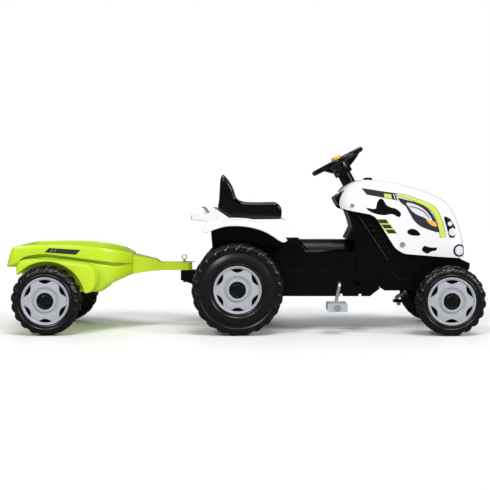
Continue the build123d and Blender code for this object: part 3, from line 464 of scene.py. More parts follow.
def hubcap(name, centre, outward, seat):
    """A pressed-in disc: bright lip, dished field with six lens-shaped windows, and a collar."""
    shape = bmesh.new()
    around, windows, half_angle = 180, 6, radians(19)
    window_rim, window_depth = 0.0630, 0.0115
    # (radius, distance out) from the lip to the collar; the windows lie between the two open rows
    face = [
        (0.0705, 0.0008), (0.0705, 0.0088), (0.0700, 0.0097), (0.0688, 0.0101), (0.0672, 0.0097), (0.0662, 0.0086),
        (0.0650, 0.0062), (0.0638, 0.0054), None, None, (0.0490, 0.0078), (0.0450, 0.0084), (0.0418, 0.0080),
        (0.0398, 0.0060), (0.0385, 0.0044), (0.0365, 0.0036), (0.0340, 0.0036), (0.0326, 0.0050), (0.0318, 0.0090),
        (0.0308, 0.0102), (0.0270, 0.0106), (0.0255, 0.0104), (0.0250, 0.0094), (0.0250, 0.0028),
    ]
    rings = []
    for place, point in enumerate(face):
        ring = []
        for k in range(around):
            a = 2 * pi * k / around
            if point is None:
                off = (a + pi / windows) % (2 * pi / windows) - pi / windows
                share = min(abs(off) / half_angle, 1)
                r = window_rim if place == WINDOW_ROW else window_rim - window_depth * (1 - share**2)
                z = 0.0056 + (window_rim - r) * 0.16
            else:
                r, z = point
            ring.append(
                shape.verts.new((centre[0] + r * sin(a), centre[1] + outward * (seat + z), centre[2] + r * cos(a))),
            )
        rings.append(ring)
    walls_between(shape, rings, skip=[WINDOW_ROW])
    bmesh.ops.remove_doubles(shape, verts=shape.verts, dist=1e-6)
    bmesh.ops.recalc_face_normals(shape, faces=shape.faces)
    # the disc faces outwards
    probe = max(shape.faces, key=lambda f: f.calc_area())
    if probe.normal.y * outward < 0:
        bmesh.ops.reverse_faces(shape, faces=shape.faces)
    piece = new_piece(name, shape)
    wall = piece.modifiers.new("wall", "SOLIDIFY")
    wall.thickness, wall.offset = 0.0016, -1
    bevelled(piece, 0.0003, 2, 40)
    return piece


# radius, number of lugs on each flank, and a lug's sweep, width and inner radius
BIG_WHEEL = (0.136, 22, 0.15, 0.0135, 0.1175)
SMALL_WHEEL = (0.103, 20, 0.17, 0.0125, 0.0885)


def wheel(name, body, nodes_name, sizes):
    """A tyre with its lugs, its hubcap and the cap on the axle's end."""
    radius, count, sweep, lug_width, foot = sizes
    low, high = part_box(f"{nodes_name}_tyre")
    half = (high.y - low.y) / 2
    outward = 1 if low.y + high.y > 0 else -1
    centre = Vector(((low.x + high.x) / 2, (low.y + high.y) / 2, radius))
    profile = rounded(tyre_profile(radius, half, sizes == BIG_WHEEL), 0.0016, 3)
    settle(turned(f"{name}_tyre", profile, centre, outward, 128), body, tyre_black, "tyre", f"{nodes_name}_tyre")
    for flank, label, lead in ((outward, "out", 0.0), (-outward, "in", pi / count)):
        seed = lug_seed(f"{name}_lugs_{label}", centre, flank, radius, half, sweep, lead, lug_width, 0.0052, foot)
        lugs = grown(seed, REPEAT_ROUND_AXLE, Count=count, Centre=tuple(centre), Finish=tyre_black)
        settle(lugs, body, None, "tyre")
    seat = half - 0.009
    settle(hubcap(f"{name}_hubcap", centre, outward, seat), body, hubcap_grey, "grey", f"{nodes_name}_hubcap")
    top = half + 0.0018
    dome = [
        (0, top), (0.010, top - 0.0002), (0.0165, top - 0.0008), (0.0175, top - 0.0015), (0.0185, top - 0.0008),
        (0.0225, top - 0.0014), (0.0238, top - 0.0026), (0.0240, top - 0.0050), (0.0240, seat + 0.0017),
        (0.0222, seat + 0.0017), (0.0222, top - 0.0045), (0, top - 0.0030),
    ]
    cap = turned(f"{name}_cap", dome, centre, outward, 64, closed=False)
    settle(cap, body, cap_black, "black", f"{nodes_name}_cap")


for side in SIDES:
    short = side[0]
    wheel(f"front_wheel_{side}", f"wheel_f{short}", f"front_{side}", SMALL_WHEEL)
    wheel(f"trailer_wheel_{side}", f"wheel_t{short}", f"trailer_{side}", SMALL_WHEEL)
    wheel(f"rear_wheel_{side}", "drive_axle" if side == "left" else "wheel_rr", f"rear_{side}", BIG_WHEEL)


# ---- Steel parts: axles, crank, steering rod, sprockets, chain, pins and screws. Bent and
# turned mild steel with bright zinc plating, dulled in cloudy patches and finely scuffed.
def plating_group():
    """Cloudy dull patches in a bright plating, and fine scuffs along it."""
    group, enter, leave = effect_group(
        "plating", [("Bright", "NodeSocketFloat", 0.2), ("Dull", "NodeSocketFloat", 0.4)],
        [("Roughness", "NodeSocketFloat"), ("Height", "NodeSocketFloat")],
    )
    patches = {
        "Value": noise(group, 60, 4, 0.6), "From Min": 0.35, "From Max": 0.7,
        "To Min": enter.outputs["Bright"], "To Max": enter.outputs["Dull"],
    }
    group.links.new(wired(group, "ShaderNodeMapRange", patches).outputs["Result"], leave.inputs["Roughness"])
    group.links.new(noise(group, 700, 2), leave.inputs["Height"])
    return group


PLATING = plating_group()


def plated_steel(name, color, roughness, metallic=0.8):
    """Zinc plating or silvering with its own colour and dullness."""
    material, shader = new_material(name, color, roughness, metallic=metallic)
    apply_effect(material, shader, PLATING, 0.1, 0.0003, Bright=roughness - 0.06, Dull=roughness + 0.16)
    return material


zinc = plated_steel("zinc_plate", (0.74, 0.75, 0.77), 0.26)
oiled = plated_steel("oiled_steel", (0.16, 0.155, 0.15), 0.38)


def finished_node(node, material):
    """Keeps a CAD node's own shape and gives it a material."""
    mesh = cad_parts[node].data
    mesh.materials.clear()
    mesh.materials.append(material)


for node in (
    "rear_axle", "trailer_axle", "stub_axle_left", "stub_axle_right", "crank_rod", "kingpins", "steering_rod",
    "hitch_pin", "horn_spring", "crank_sprocket", "axle_sprocket",
):
    finished_node(node, zinc)
finished_node("drive_chain", oiled)
for node in ("drive_bushes", "column_bushes"):
    finished_node(node, cap_black)

# ---- Pedals. Grey moulded blocks with a rib round each tread face.
pedal_grey = moulded_material("pedal_grey", (0.36, 0.40, 0.44), 0.4, dust=0.2, dust_color=(0.2, 0.22, 0.24))
for side in SIDES:
    moulding(f"pedal_{side}", f"pedal_{side[0]}", 0.0018, pedal_grey, "grey")

# ---- Rear cover. One glossy white moulding on top of the seat box: a deck under the seat with a
# knobbed tail, and a curved mudguard over each rear wheel.
shell_white = moulded_material(
    "shell_white", (0.80, 0.81, 0.825), 0.22, coat=0.5, dust=0.05, mottle=0.06, grain=500, bump=0.02,
    dust_color=(0.7, 0.71, 0.73),
)
REAR_AXLE = (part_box("rear_left_tyre")[0].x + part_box("rear_left_tyre")[1].x) / 2


def curve_piece(corners, steps):
    """Points of the smooth curve from the second of four points towards the third."""
    a, b, c, d = (Vector(corner) for corner in corners)
    result = []
    for s in range(steps):
        t = s / steps
        bend = (2 * a - 5 * b + 4 * c - d) * t**2 + (3 * b - a - 3 * c + d) * t**3
        result.append(tuple(0.5 * (2 * b + (c - a) * t + bend)))
    return result


def smooth_loop(points, steps=6):
    """A closed curve through every point, for rounded outlines, blobs and leaf shapes."""
    count, result = len(points), []
    for k in range(count):
        result += curve_piece([points[(k + j) % count] for j in (-1, 0, 1, 2)], steps)
    return result


def smooth_run(points, steps=6):
    """An open curve through every point, for the edge of a stripe or a long soft edge."""
    before = 2 * Vector(points[0]) - Vector(points[1])
    after = 2 * Vector(points[-1]) - Vector(points[-2])
    ends = [before, *points, after]
    result = []
    for k in range(1, len(ends) - 2):
        result += curve_piece(ends[k - 1:k + 3], steps)
    return result + [tuple(points[-1])]


def inset_loop(points, depth):
    """A closed outline moved inwards by a depth, corner by corner."""
    turn = sum(a[0] * b[1] - b[0] * a[1] for a, b in zip(points, points[1:] + points[:1]))
    side = 1 if turn > 0 else -1
    result = []
    for k, here in enumerate(points):
        here = Vector(here)
        before, after = here - Vector(points[k - 1]), Vector(points[(k + 1) % len(points)]) - here
        n = (before.normalized() + after.normalized()).normalized()
        result.append(tuple(here + side * depth * Vector((-n.y, n.x))))
    return result


def rounded_slab(name, outline, datum, y_low, y_high, radius, stations=2, shape_point=None):
    """A side outline in millimetres from a datum, given a width and rounded flanks."""
    bends = [pi / 2 * k / 5 for k in range(1, 6)]
    flank = [(radius * (1 - sin(a)), radius * (1 - cos(a))) for a in bends]
    straight = y_high - y_low - 2 * radius
    rows = [(y_low + out, depth) for out, depth in flank[::-1]]
    rows += [(y_low + radius + straight * k / stations, 0.0) for k in range(stations + 1)]
    rows += [(y_high - out, depth) for out, depth in flank]
    shape = bmesh.new()
    rings = []
    for y, depth in rows:
        ring = inset_loop(outline, depth) if depth else outline
        if shape_point:
            ring = [shape_point(x, y, z) for x, z in ring]
        rings.append([shape.verts.new((datum + x / 1000, y / 1000, z / 1000)) for x, z in ring])
    walls_between(shape, rings)
    for ring in (rings[0], rings[-1]):
        shape.faces.new(ring)
    bmesh.ops.triangulate(shape, faces=[f for f in shape.faces if len(f.verts) > 4])
    bmesh.ops.recalc_face_normals(shape, faces=shape.faces)
    return new_piece(name, shape)


tail = smooth_run(
    [(-69, 373), (-77, 374), (-82, 369), (-86, 360), (-93, 359), (-100, 368), (-107, 375), (-115, 375), (-123, 367),
    (-137, 361), (-141, 355), (-142, 341), (-138, 338), (-96, 335)], 4,
)
deck_top = rounded(
    [(-69, 373), (-46, 358), (-23, 342.5), (34, 340), (136, 341), (150, 331), (184, 292), (184, 285), (145, 285)], 7,
)[1:]
deck_low = smooth_run([(125, 297), (81, 320), (34, 331), (-28, 332), (-70, 324), (-96, 335)], 5)[:-1]
deck = rounded_slab("cover_deck", deck_top + deck_low + tail[::-1][1:-1], REAR_AXLE, -111.5, 111.5, 3.0)
settle(deck, "tractor", shell_white, "white", "rear_cover")
guard_top = smooth_run(
    [(-104, 305), (-97, 322), (-86, 335), (-52, 341.5), (-10, 342), (34, 339.5), (81, 327), (118, 307), (143, 287)],
    5,
)
guard_low = smooth_run(
    [(147, 281), (140, 275.5), (127, 277), (96, 297), (66, 311), (22, 321), (-28, 322), (-62, 314), (-84, 305),
    (-97, 301)], 5,
)
for side, sign in SIDES.items():
    low, high = sorted((sign * 106.0, sign * 195.0))
    guard = rounded_slab(f"mudguard_{side}", guard_top + guard_low, REAR_AXLE, low, high, 3.2)
    settle(guard, "tractor", shell_white, "white")
    rib_top = smooth_run([(-60, 345.2), (-10, 345.4), (34, 342.6), (78, 331.5), (116, 311), (141, 290)], 5)
    rib_low = smooth_run([(137, 288), (113, 306), (76, 326), (33, 337), (-10, 340), (-60, 340)], 5)
    low, high = sorted((sign * 109.0, sign * 128.0))
    rib = rounded_slab(f"mudguard_rib_{side}", rib_top + rib_low, REAR_AXLE, low, high, 2.0)
    settle(rib, "tractor", shell_white, "white")

# ---- Seat. A shiny black moulding with a low curved back, dished for the child and rounded at
# all its edges, on top of the deck.
seat_black = moulded_material(
    "seat_black", (0.0016, 0.0016, 0.0018), 0.2, dust=0.05, mottle=0.06, dust_color=(0.008, 0.008, 0.0085),
    shine=0.36, coat=0.1,
)


def seat_point(x, y, z):
    """Dishes the pan and the back across the width, and lowers the back's corners."""
    across = abs(y) / 104
    middle = max(0.0, 1 - across**2)
    if z > 380 and x > -12:
        z -= 9 * middle * min(1.0, (x + 12) / 30) * min(1.0, max(0.0, (126 - x) / 30))
    if z > 392 and x < 5:
        high = min(1.0, (z - 392) / 84)
        x -= 8 * middle * min(1.0, max(0.0, (x + 50) / 16))
        z -= 14 * high * across**5
    return x, z


seat_side = (
    smooth_run(
        [(-20, 342.8), (-58, 369), (-57, 400), (-55, 440), (-53.5, 464), (-50, 473), (-45, 476), (-38, 473.5)], 4,
    )
    + smooth_run(
        [(-31, 466), (-23, 454), (-16, 438), (-11, 421), (-6, 406), (3, 397.5), (14, 393.5), (32, 391.5), (60, 391),
        (108, 391.5), (120, 388), (129, 378), (132.5, 364), (131, 346)], 5,
    )
    + [(126, 342.5), (100, 342.6), (60, 342.6), (20, 342.7)]
)
seat = rounded_slab("seat_moulding", seat_side, REAR_AXLE, -104, 104, 9.0, 16, seat_point)
settle(seat, "tractor", seat_black, "black", "seat")

# ---- Ribs moulded on the black frame: a sloping pair beside the seat box's front, a shiny bead
# down the rear edge of each engine panel, and a bent rib low on each side of the nose.
FRONT_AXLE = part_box("kingpins")[0].x + 0.008
# the bead's base is a lighter black than the frame's: a painted highlight line down each engine panel's rear edge, on
# top of the bead's real shine
panel_bead_painted_highlight = moulded_material(
    "panel_bead_painted_highlight", (0.02, 0.02, 0.022), 0.3, dust=0.1, dust_color=(0.05, 0.05, 0.055), shine=0.9,
)
rear_rib = [(156, 284), (163, 284), (207, 240), (200, 240)]
fore_rib = [(172, 284), (180, 284), (216, 246), (209, 246)]
panel_edge = [(-264, 351), (-261, 351), (-172, 216), (-175, 216)]
bent_rib = rounded([(-163, 180), (-159, 180), (-142, 158), (-100, 158), (-100, 154.5), (-144, 154.5)], 2)
bead_out = 1000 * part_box("engine_panels")[1].y + 1.4
for side, sign in SIDES.items():
    for name, outline, datum, inner, out, radius, material in (
        (f"frame_rib_{side}_0", rear_rib, REAR_AXLE, 84.0, 92.5, 1.4, frame_black),
        (f"frame_rib_{side}_1", fore_rib, REAR_AXLE, 84.0, 92.5, 1.4, frame_black),
        (f"panel_bead_{side}", panel_edge, FRONT_AXLE, 81.0, bead_out, 1.3, panel_bead_painted_highlight),
        (f"nose_rib_{side}", bent_rib, FRONT_AXLE, 78.0, 82.2, 0.8, frame_black),
    ):
        low, high = sorted((sign * inner, sign * out))
        settle(rounded_slab(name, outline, datum, low, high, radius), "tractor", material, "black")

# ---- Hood. One glossy white shell, open below, screwed to the console at two places a side.
# Its decoration is printed film: black patches like a cow's, a dark bar that runs into a
# yellow-green stripe, a drawn side window, and three dark louvres.


def hood_shell():
    """The hood with its corners merged, its hem's corners drawn into curves and its rim rounded."""
    shape = clean_shape("hood", 0.3)
    lower_screw = Vector((FRONT_AXLE - 0.133, 0, 0.264))

    def on_hem(at, long):
        """Whether an edge crosses the 3 mm wall at the hem's rear half, and not at a screw hole."""
        from_screw = (Vector((at.x, 0, at.z)) - lower_screw).length
        across_wall = 0.0029 < long < 0.0031 and abs(at.y) > 0.098
        return across_wall and at.z < 0.37 and at.x < FRONT_AXLE - 0.1 and from_screw > 0.012

    soften_corners(shape, 0.0095, on_hem)
    return bevelled(new_piece("hood_shell", shape), 0.0009, 2, 40)


settle(hood_shell(), "tractor", shell_white, "white", "hood")


def printed_film_group():
    """Slightly uneven ink and the faint orange-peel of a clear layer."""
    group, enter, leave = effect_group(
        "printed_film",
        [("Thin Ink", "NodeSocketColor", (0.4, 0.4, 0.4, 1)), ("Full Ink", "NodeSocketColor", (0.5, 0.5, 0.5, 1))],
        [("Color", "NodeSocketColor"), ("Height", "NodeSocketFloat")],
    )
    ink = {"Factor": noise(group, 40, 3), "A": enter.outputs["Thin Ink"], "B": enter.outputs["Full Ink"]}
    shade = wired(group, "ShaderNodeMix", ink, data_type="RGBA")
    group.links.new(shade.outputs["Result"], leave.inputs["Color"])
    group.links.new(noise(group, 350, 2), leave.inputs["Height"])
    return group


PRINTED_FILM = printed_film_group()


def film_material(name, color, roughness=0.25, coat=0.4, shine=0.5):
    """Printed vinyl under a clear layer."""
    material, shader = new_material(name, color, roughness, coat=coat, shine=shine)
    thin, full = (tuple(min(1.0, tone * c) for c in color) + (1,) for tone in (0.93, 1.06))
    apply_effect(material, shader, PRINTED_FILM, 0.04, 0.0003, Thin_Ink=thin, Full_Ink=full)
    return material


ink_black = film_material("film_black", (0.003, 0.003, 0.0035), coat=0.0, shine=0.25)
ink_dark = film_material("film_dark_grey", (0.03, 0.03, 0.034), coat=0.1, shine=0.3)
ink_grey = film_material("film_grey", (0.20, 0.20, 0.22))
ink_white = film_material("film_white", (0.66, 0.68, 0.74))
ink_lime = film_material("film_lime", (0.58, 0.72, 0.09))
ink_orange = film_material("film_orange", (0.85, 0.42, 0.10))


def surface_of(mesh):
    """A mesh's faces, ready to be met by a ray."""
    mesh.calc_loop_triangles()
    return BVHTree.FromPolygons([v.co for v in mesh.vertices], [t.vertices for t in mesh.loop_triangles])


def film(name, outline, datum, surface, lift, material, body, slot, from_above=False):
    """Lays a flat outline on a surface, on both sides or from above. Millimetres from the datum."""
    cell = 0.006
    upright = Vector((0, 1, 0)) if from_above else Vector((0, 0, 1))
    for side, sign in ({"top": 1} if from_above else SIDES).items():
        towards = Vector((0, 0, -1)) if from_above else Vector((0, -sign, 0))
        shape = bmesh.new()
        corners = [shape.verts.new(Vector((datum + a / 1000, 0, 0)) + upright * b / 1000) for a, b in outline]
        shape.faces.new(corners)
        for line in (Vector((1, 0, 0)), upright):
            reach = [v.co.dot(line) for v in corners]
            for k in range(1, int((max(reach) - min(reach)) / cell) + 1):
                bmesh.ops.bisect_plane(
                    shape, geom=shape.verts[:] + shape.edges[:] + shape.faces[:],
                    plane_co=line * (min(reach) + k * cell), plane_no=line,
                )
        for v in shape.verts:
            start = v.co - towards * 0.7
            hit, normal, _, _ = surface.ray_cast(start, towards)
            if hit is None:
                hit, normal, _, _ = surface.find_nearest(v.co - towards * 0.1)
            v.co = hit + normal * lift
        bmesh.ops.triangulate(shape, faces=shape.faces)
        bmesh.ops.recalc_face_normals(shape, faces=shape.faces)
        if sum(f.normal.dot(towards) for f in shape.faces) > 0:
            bmesh.ops.reverse_faces(shape, faces=shape.faces)
        settle(new_piece(f"{name}_{side}", shape), body, material, slot)


hood_surface = surface_of(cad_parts["hood"].data)
BASE, OVER, TOP = 0.00025, 0.00045, 0.0006


def hood_film(name, outline, material, lift=BASE, from_above=False):
    """Film on both sides of the hood, or on its crown."""
    film(name, outline, FRONT_AXLE, hood_surface, lift, material, "tractor", "white", from_above)


SIDE_PATCHES = {
    "patch_large": [
        (-240, 375), (-214, 372), (-208, 391), (-200, 402), (-190, 400), (-181, 385), (-168, 377), (-151, 372),
        (-137, 360), (-138, 349), (-146, 348), (-163, 356), (-186, 353), (-209, 356), (-229, 364),
    ],
    "patch_middle": [(-117, 303), (-108, 311), (-93, 310), (-80, 300), (-79, 292), (-96, 291), (-111, 295)],
    "patch_low": [
        (-72, 251), (-64, 260), (-53, 257), (-41, 255), (-28, 255), (-29, 247), (-44, 243), (-54, 237), (-67, 242),
    ],
}
CROWN_PATCHES = {
    "patch_crown": [
        (-152, -18), (-140, -34), (-118, -30), (-100, -36), (-84, -22), (-92, -4), (-112, 4), (-121, 22),
        (-138, 24), (-141, 6),
    ],
    "patch_crown_small": [(-196, 30), (-180, 24), (-166, 34), (-172, 50), (-189, 52), (-200, 42)],
}
for patches, from_above in ((SIDE_PATCHES, False), (CROWN_PATCHES, True)):
    for name, outline in patches.items():
        hood_film(name, smooth_loop(outline), ink_black, from_above=from_above)
stripe_top = smooth_run(
    [(-146, 418), (-119, 413), (-76, 398), (-41, 382), (-24, 362), (-12, 333), (-4, 304), (-2, 285)]
)
stripe_low = smooth_run(
    [(-16, 286), (-21, 310), (-28, 336), (-41, 362), (-64, 381), (-93, 394), (-119, 404), (-146, 412)]
)
stripe_rim = [(x + 1.6, z + 1.2) for x, z in stripe_top] + [(x - 1.6, z - 1.2) for x, z in stripe_low]
hood_film("stripe_edge", stripe_rim, ink_grey)
hood_film("stripe", stripe_top + stripe_low, ink_lime, OVER)
hood_film("bar", rounded([(-256, 435), (-180, 423), (-148, 419), (-146, 397), (-186, 405), (-240, 415)], 2), ink_dark)
hood_film("bar_block", [(-188, 418), (-166, 415.5), (-164, 402), (-186, 406.5)], ink_lime, OVER)
for k in range(2):
    slash = [(-160, 417), (-157.5, 417), (-152.5, 401), (-155, 401.5)]
    hood_film(f"bar_slash_{k}", [(x + 7 * k, z - k) for x, z in slash], ink_white, OVER)
window = [
    (-145, 405), (-119, 399), (-88, 390), (-58, 375), (-38, 351), (-27, 326), (-21, 302), (-46, 307), (-76, 319),
    (-96, 336), (-110, 359), (-122, 379), (-136, 390),
]
sky = [(-120, 390), (-93, 385), (-66, 370), (-47, 348), (-38, 328), (-47, 335), (-66, 345), (-92, 357), (-107, 370)]
arc_low = smooth_run([(-113, 378), (-90, 373), (-68, 361), (-52, 343)])
arc_top = smooth_run([(-48, 343), (-65, 364), (-88, 376.5), (-113, 381)])
glow = [(-60, 341), (-46, 337), (-33, 332), (-28, 319), (-41, 321), (-52, 329)]
hood_film("window", smooth_loop(window), ink_dark)
hood_film("window_sky", smooth_loop(sky), ink_white, OVER)
hood_film("window_arc", arc_low + arc_top, ink_grey, TOP)
hood_film("window_glow", smooth_loop(glow), ink_orange, TOP)
louvre_rim = [(-211, 342.5), (-179, 341.5), (-169.5, 327), (-200, 327)]
louvre = [(-207.5, 340), (-181, 339.5), (-173, 328.5), (-198, 328.5)]
for k in range(3):
    hood_film(f"louvre_edge_{k}", [(x + 12.0 * k, z - 15.2 * k) for x, z in louvre_rim], ink_lime)
    hood_film(f"louvre_{k}", [(x + 12.0 * k, z - 15.2 * k) for x, z in louvre], ink_dark, OVER)

# ---- Lamps, filler cap and hood screws. The headlamps are silvered discs in a black surround,
# and the round lamp low on the nose has a black rim. All are push-in mouldings.
lens_silver = plated_steel("lens_silver", (0.82, 0.85, 0.90), 0.18, metallic=0.25)
moulding("lamp_housings", "tractor", 0.0004, cap_black, "black")
moulding("lamp_lenses", "tractor", 0.0006, lens_silver, "lens")


def turned_upright(name, profile, place, around=64):
    """A piece turned about an upright axis, or about any axis that the place matrix gives. Millimetres."""
    shape = bmesh.new()
    rings = []
    for radius, height in profile:
        if radius < 1e-6:
            rings.append([shape.verts.new((0, 0, height / 1000))])
        else:
            turns = [2 * pi * k / around for k in range(around)]
            r, z = radius / 1000, height / 1000
            rings.append([shape.verts.new((r * cos(a), r * sin(a), z)) for a in turns])
    walls_between(shape, rings)
    shape.transform(place)
    bmesh.ops.recalc_face_normals(shape, faces=shape.faces)
    return new_piece(name, shape)


cap_profile = [
    (0, 450), (17, 450), (17.2, 457), (16.4, 459), (11.6, 465.4), (10.2, 466.6), (8.6, 467), (7.4, 466.2), (0, 466),
]
cap = turned_upright("filler_cap_moulding", cap_profile, Matrix.Translation((FRONT_AXLE - 0.227, 0, 0)), 48)
settle(cap, "tractor", cap_black, "black", "filler_cap")
finished_node("hood_screws", zinc)

# ---- Steering wheel. A round rim on three deep spokes that run into a stepped hub, in one black
# moulding, with a yellow horn button in the hub's pocket.
COLUMN_LEAN = 28
COLUMN = Matrix.Translation((FRONT_AXLE - 0.321, 0, 0.517)) @ Matrix.Rotation(radians(-COLUMN_LEAN), 4, "Y")
RIM_RADIUS, RIM_TUBE = 80.0, 7.5
rim_round = [(RIM_RADIUS + RIM_TUBE * cos(2 * pi * k / 20), RIM_TUBE * sin(2 * pi * k / 20)) for k in range(21)]
hub_round = [
    (0, -16), (16.4, -16), (16.4, 2), (17.2, 3), (23.5, 3), (26.4, 1.6), (27.4, -1), (28, -8), (29, -30), (28.4, -32),
    (28.4, -42.6), (27.4, -44.4), (23, -45), (21.6, -46), (6.1, -46), (6.1, -22), (0, -22),
]
spoke_places = [
    (22, 1.5, -31, 14), (34, 1.2, -28, 13), (48, 1, -22, 12), (61, 1, -15, 11), (71, 1.8, -8.5, 12),
    (79, 3, -5.5, 14.5),
]


def steering_wheel():
    """Rim, hub and spokes, made flat and then leaned with the column."""
    parts = [turned_upright("rim", rim_round, Matrix(), 96), turned_upright("hub", hub_round, Matrix(), 64)]
    whole = bmesh.new()
    for part in parts:
        whole.from_mesh(part.data)
        bpy.data.objects.remove(part)
    for turn in (0, 125, 235):
        rows = []
        around = Matrix.Rotation(radians(turn), 3, "Z")
        for out, top, low, half in spoke_places:
            ring = rounded([(-half, low), (half, low), (half, top), (-half, top)], min(5.0, 0.4 * (top - low)), 4)
            rows.append([whole.verts.new(around @ Vector((out / 1000, y / 1000, z / 1000))) for y, z in ring])
        walls_between(whole, rows)
        whole.faces.new(rows[0])
        whole.faces.new(rows[-1])
    bmesh.ops.remove_doubles(whole, verts=whole.verts, dist=1e-6)
    whole.transform(COLUMN)
    bmesh.ops.recalc_face_normals(whole, faces=whole.faces)
    return new_piece("steering_wheel_moulding", whole)


settle(steering_wheel(), "steering", seat_black, "black", "steering_wheel")
horn_yellow = moulded_material("horn_yellow", (0.85, 0.50, 0.02), 0.32, coat=0.3, dust=0.05)
button = moulding("horn_button", "horn", 0.001, horn_yellow, "yellow").data.vertices
heights = [(COLUMN.inverted() @ v.co).z for v in button]
DOME_LIFT = COLUMN.to_3x3() @ Vector((0, 0, 0.0035))
for v, height in zip(button, heights):
    if height > (min(heights) + max(heights)) / 2:
        v.co += DOME_LIFT

# ---- Trailer. A lime-green blow-moulded tub and drawbar, with a dark plate on each side.
trailer_lime = moulded_material(
    "trailer_lime", (0.50, 0.69, 0.014), 0.3, coat=0.35, dust=0.08, mottle=0.1, grain=600,
    dust_color=(0.25, 0.5, 0.02),
)
moulding("drawbar", "trailer", 0.003, trailer_lime, "lime", (0.006, lambda at, long: long > 0.02 and at.z > 0.19))
TRAILER_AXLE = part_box("trailer_axle")[0].x + 0.009


def follow(points):
    """A smooth value along the length, read from a few (place, value) pairs."""
    run = smooth_run(points, 8)

    def value(x):
        for a, b in zip(run, run[1:]):
            if x <= b[0]:
                return a[1] + (b[1] - a[1]) * max(0.0, (x - a[0]) / max(b[0] - a[0], 1e-6))
        return run[-1][1]

    return value


rim = follow(
    [(-130, 200), (-124, 219), (-116, 243), (-109, 256), (-95, 261), (-57, 264), (40, 265.5), (110, 262),
    (160, 256), (205, 247), (241, 233)],
)
band_low = follow(
    [(-130, 198), (-110, 206), (-92, 212), (-84, 221), (-63, 231), (-14, 237.5), (40, 232), (99, 224), (150, 217),
    (196, 210), (241, 205)],
)
groove = follow([(-130, 0.2), (-96, 0.5), (-86, 7), (-60, 11), (99, 9), (160, 11), (196, 12), (225, 5), (241, 1)])
under = follow(
    [(-130, 197), (-97, 197), (-92, 190), (-80, 164), (-70, 141), (-60, 125), (-45, 122), (135, 122), (152, 125),
    (172, 138), (195, 152), (241, 171)],
)
outer = follow(
    [(-130, 126), (-120, 141), (-105, 149), (-80, 150), (95, 150), (130, 147), (165, 137), (195, 119), (220, 93),
    (241, 62)],
)
basin_floor = follow(
    [(-84, 262), (-82, 225), (-76, 165), (-66, 143), (-55, 140), (150, 140), (162, 143), (176, 158), (192, 196),
    (203, 238), (206, 246)],
)
basin_half = follow(
    [(-92, 108), (-80, 121), (-60, 128), (95, 128), (130, 124), (165, 112), (195, 90), (210, 74), (241, 50)],
)


def tub_section(x):
    """Half of the tub's section across, from the middle of its underside round to the basin's middle."""
    top, low, cut, foot, wide, inside = rim(x), band_low(x), groove(x), under(x), outer(x), basin_half(x)
    low = min(low, top - 2)
    foot = min(foot, low - cut - 1)
    deep = min(16.0, 1.8 * cut)
    floor = basin_floor(x) if -84 < x < 205 else top
    floor = min(floor, top)
    wall = top - floor
    tall = low - cut - foot
    heel = min(14.0, 0.4 * tall)
    band = top - low
    return [
        (0, foot), (0.5 * wide, foot), (wide - 30, foot), (wide - 22, foot + 0.12 * heel),
        (wide - 15, foot + 0.5 * heel), (wide - 12, foot + heel), (wide - 8, foot + heel + 0.45 * (tall - heel)),
        (wide - 6, low - cut - 0.12 * cut), (wide - 6.6, low - cut), (wide - deep - 2, low - 0.8 * cut),
        (wide - deep - 2, low - 0.15 * cut), (wide - 1.5, low), (wide - 0.3, low + min(1.5, 0.1 * band)),
        (wide, low + 0.3 * band), (wide - 0.8, low + 0.7 * band), (wide - 1.6, top - 0.16 * band),
        (wide - 3.4, top - 0.05 * band), (wide - 6.5, top), (inside + 5, top),
        (inside + 1.5, top - min(1.5, 0.1 * wall)),
        (inside, top - min(6.0, 0.2 * wall)), (inside - 0.06 * wall, floor + 0.2 * wall),
        (inside - 0.09 * wall, floor + 0.07 * wall), (inside - 0.16 * wall, floor + 0.01 * wall),
        (0.5 * inside, floor), (0, floor),
    ]


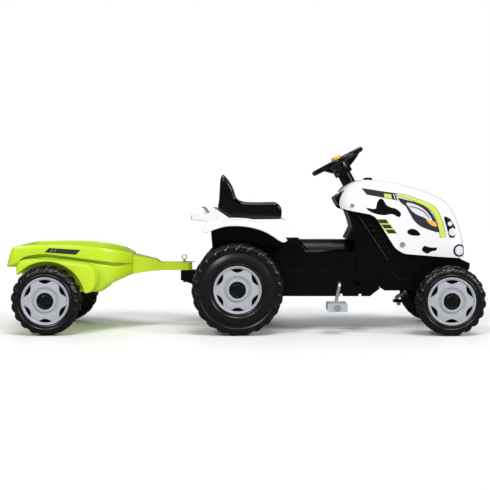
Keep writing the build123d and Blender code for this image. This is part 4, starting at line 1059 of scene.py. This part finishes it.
def trailer_shell():
    """The tub's skin, drawn section by section from the tail to the drawbar."""
    shape = bmesh.new()
    stations = [
        -129.9, -128, -125, -121, -117, -113, -109, -104, -98, -95, -92, -89, -86, -84, -83, -82, -80, -78, -75,
        -72, -69, -66, -62, -58, -52,
    ]
    stations += [-45 + 9 * k for k in range(20)] + [
        135, 142, 148, 153, 158, 163, 168, 173, 178, 183, 188, 192, 196, 200, 203, 205, 206, 210, 216, 223, 231,
        240.9,
    ]
    rows = []
    for x in stations:
        half = tub_section(x)
        loop = half + [(-y, z) for y, z in half[-2:0:-1]]
        rows.append([shape.verts.new((TRAILER_AXLE + x / 1000, y / 1000, z / 1000)) for y, z in loop])
    walls_between(shape, rows)
    shape.faces.new(rows[0])
    shape.faces.new(rows[-1])
    bmesh.ops.remove_doubles(shape, verts=shape.verts, dist=5e-5)
    bmesh.ops.triangulate(shape, faces=[f for f in shape.faces if len(f.verts) > 4])
    bmesh.ops.recalc_face_normals(shape, faces=shape.faces)
    return new_piece("tub_shell", shape)


shell = trailer_shell()
settle(shell, "trailer", trailer_lime, "lime", "trailer_tub")
FENDER_IN, FENDER_OUT, WHEEL_GAP, AXLE_HEIGHT = 140.0, 191.0, 114.0, 103


def fender_point(x, y, z):
    """Draws the fender's outer edge in towards the wheel, so that its flank is full and round."""
    out = max(0.0, (abs(y) - 160) / (FENDER_OUT - 160))
    reach = sqrt(x**2 + (z - AXLE_HEIGHT) ** 2)
    pull = 9 * out**2.4 * min(1.0, max(0.0, (reach - WHEEL_GAP - 4) / 14))
    return x * (1 - pull / reach), AXLE_HEIGHT + (z - AXLE_HEIGHT) * (1 - pull / reach)


arch_over = smooth_run(
    [(-88, 178), (-93, 196), (-88, 213), (-68, 223), (-14, 226), (40, 222), (99, 214), (126, 209), (143, 196),
    (150, 176), (150, 157), (145, 140), (134, 128.5), (122, 125), (113, 124.5)], 5,
)
arch_under = [(WHEEL_GAP * cos(radians(a)), AXLE_HEIGHT + WHEEL_GAP * sin(radians(a))) for a in range(14, 137, 6)]
for side, sign in SIDES.items():
    low, high = sorted((sign * FENDER_IN, sign * FENDER_OUT))
    fender = rounded_slab(f"fender_{side}", arch_over + arch_under, TRAILER_AXLE, low, high, 2.4, 12, fender_point)
    settle(fender, "trailer", trailer_lime, "lime")
tub_surface = surface_of(shell.data)
plate = rounded([(-12, 243), (2, 256), (96, 250), (82, 236)], 1.5)
film("tub_plate", plate, TRAILER_AXLE, tub_surface, BASE, ink_dark, "trailer", "lime")
for k in range(2):
    slash = [(x + 11 * k, z - 0.5 * k) for x, z in [(4, 244.5), (7, 244.5), (14, 252.5), (11, 252.5)]]
    film(f"tub_plate_slash_{k}", slash, TRAILER_AXLE, tub_surface, OVER, ink_grey, "trailer", "lime")
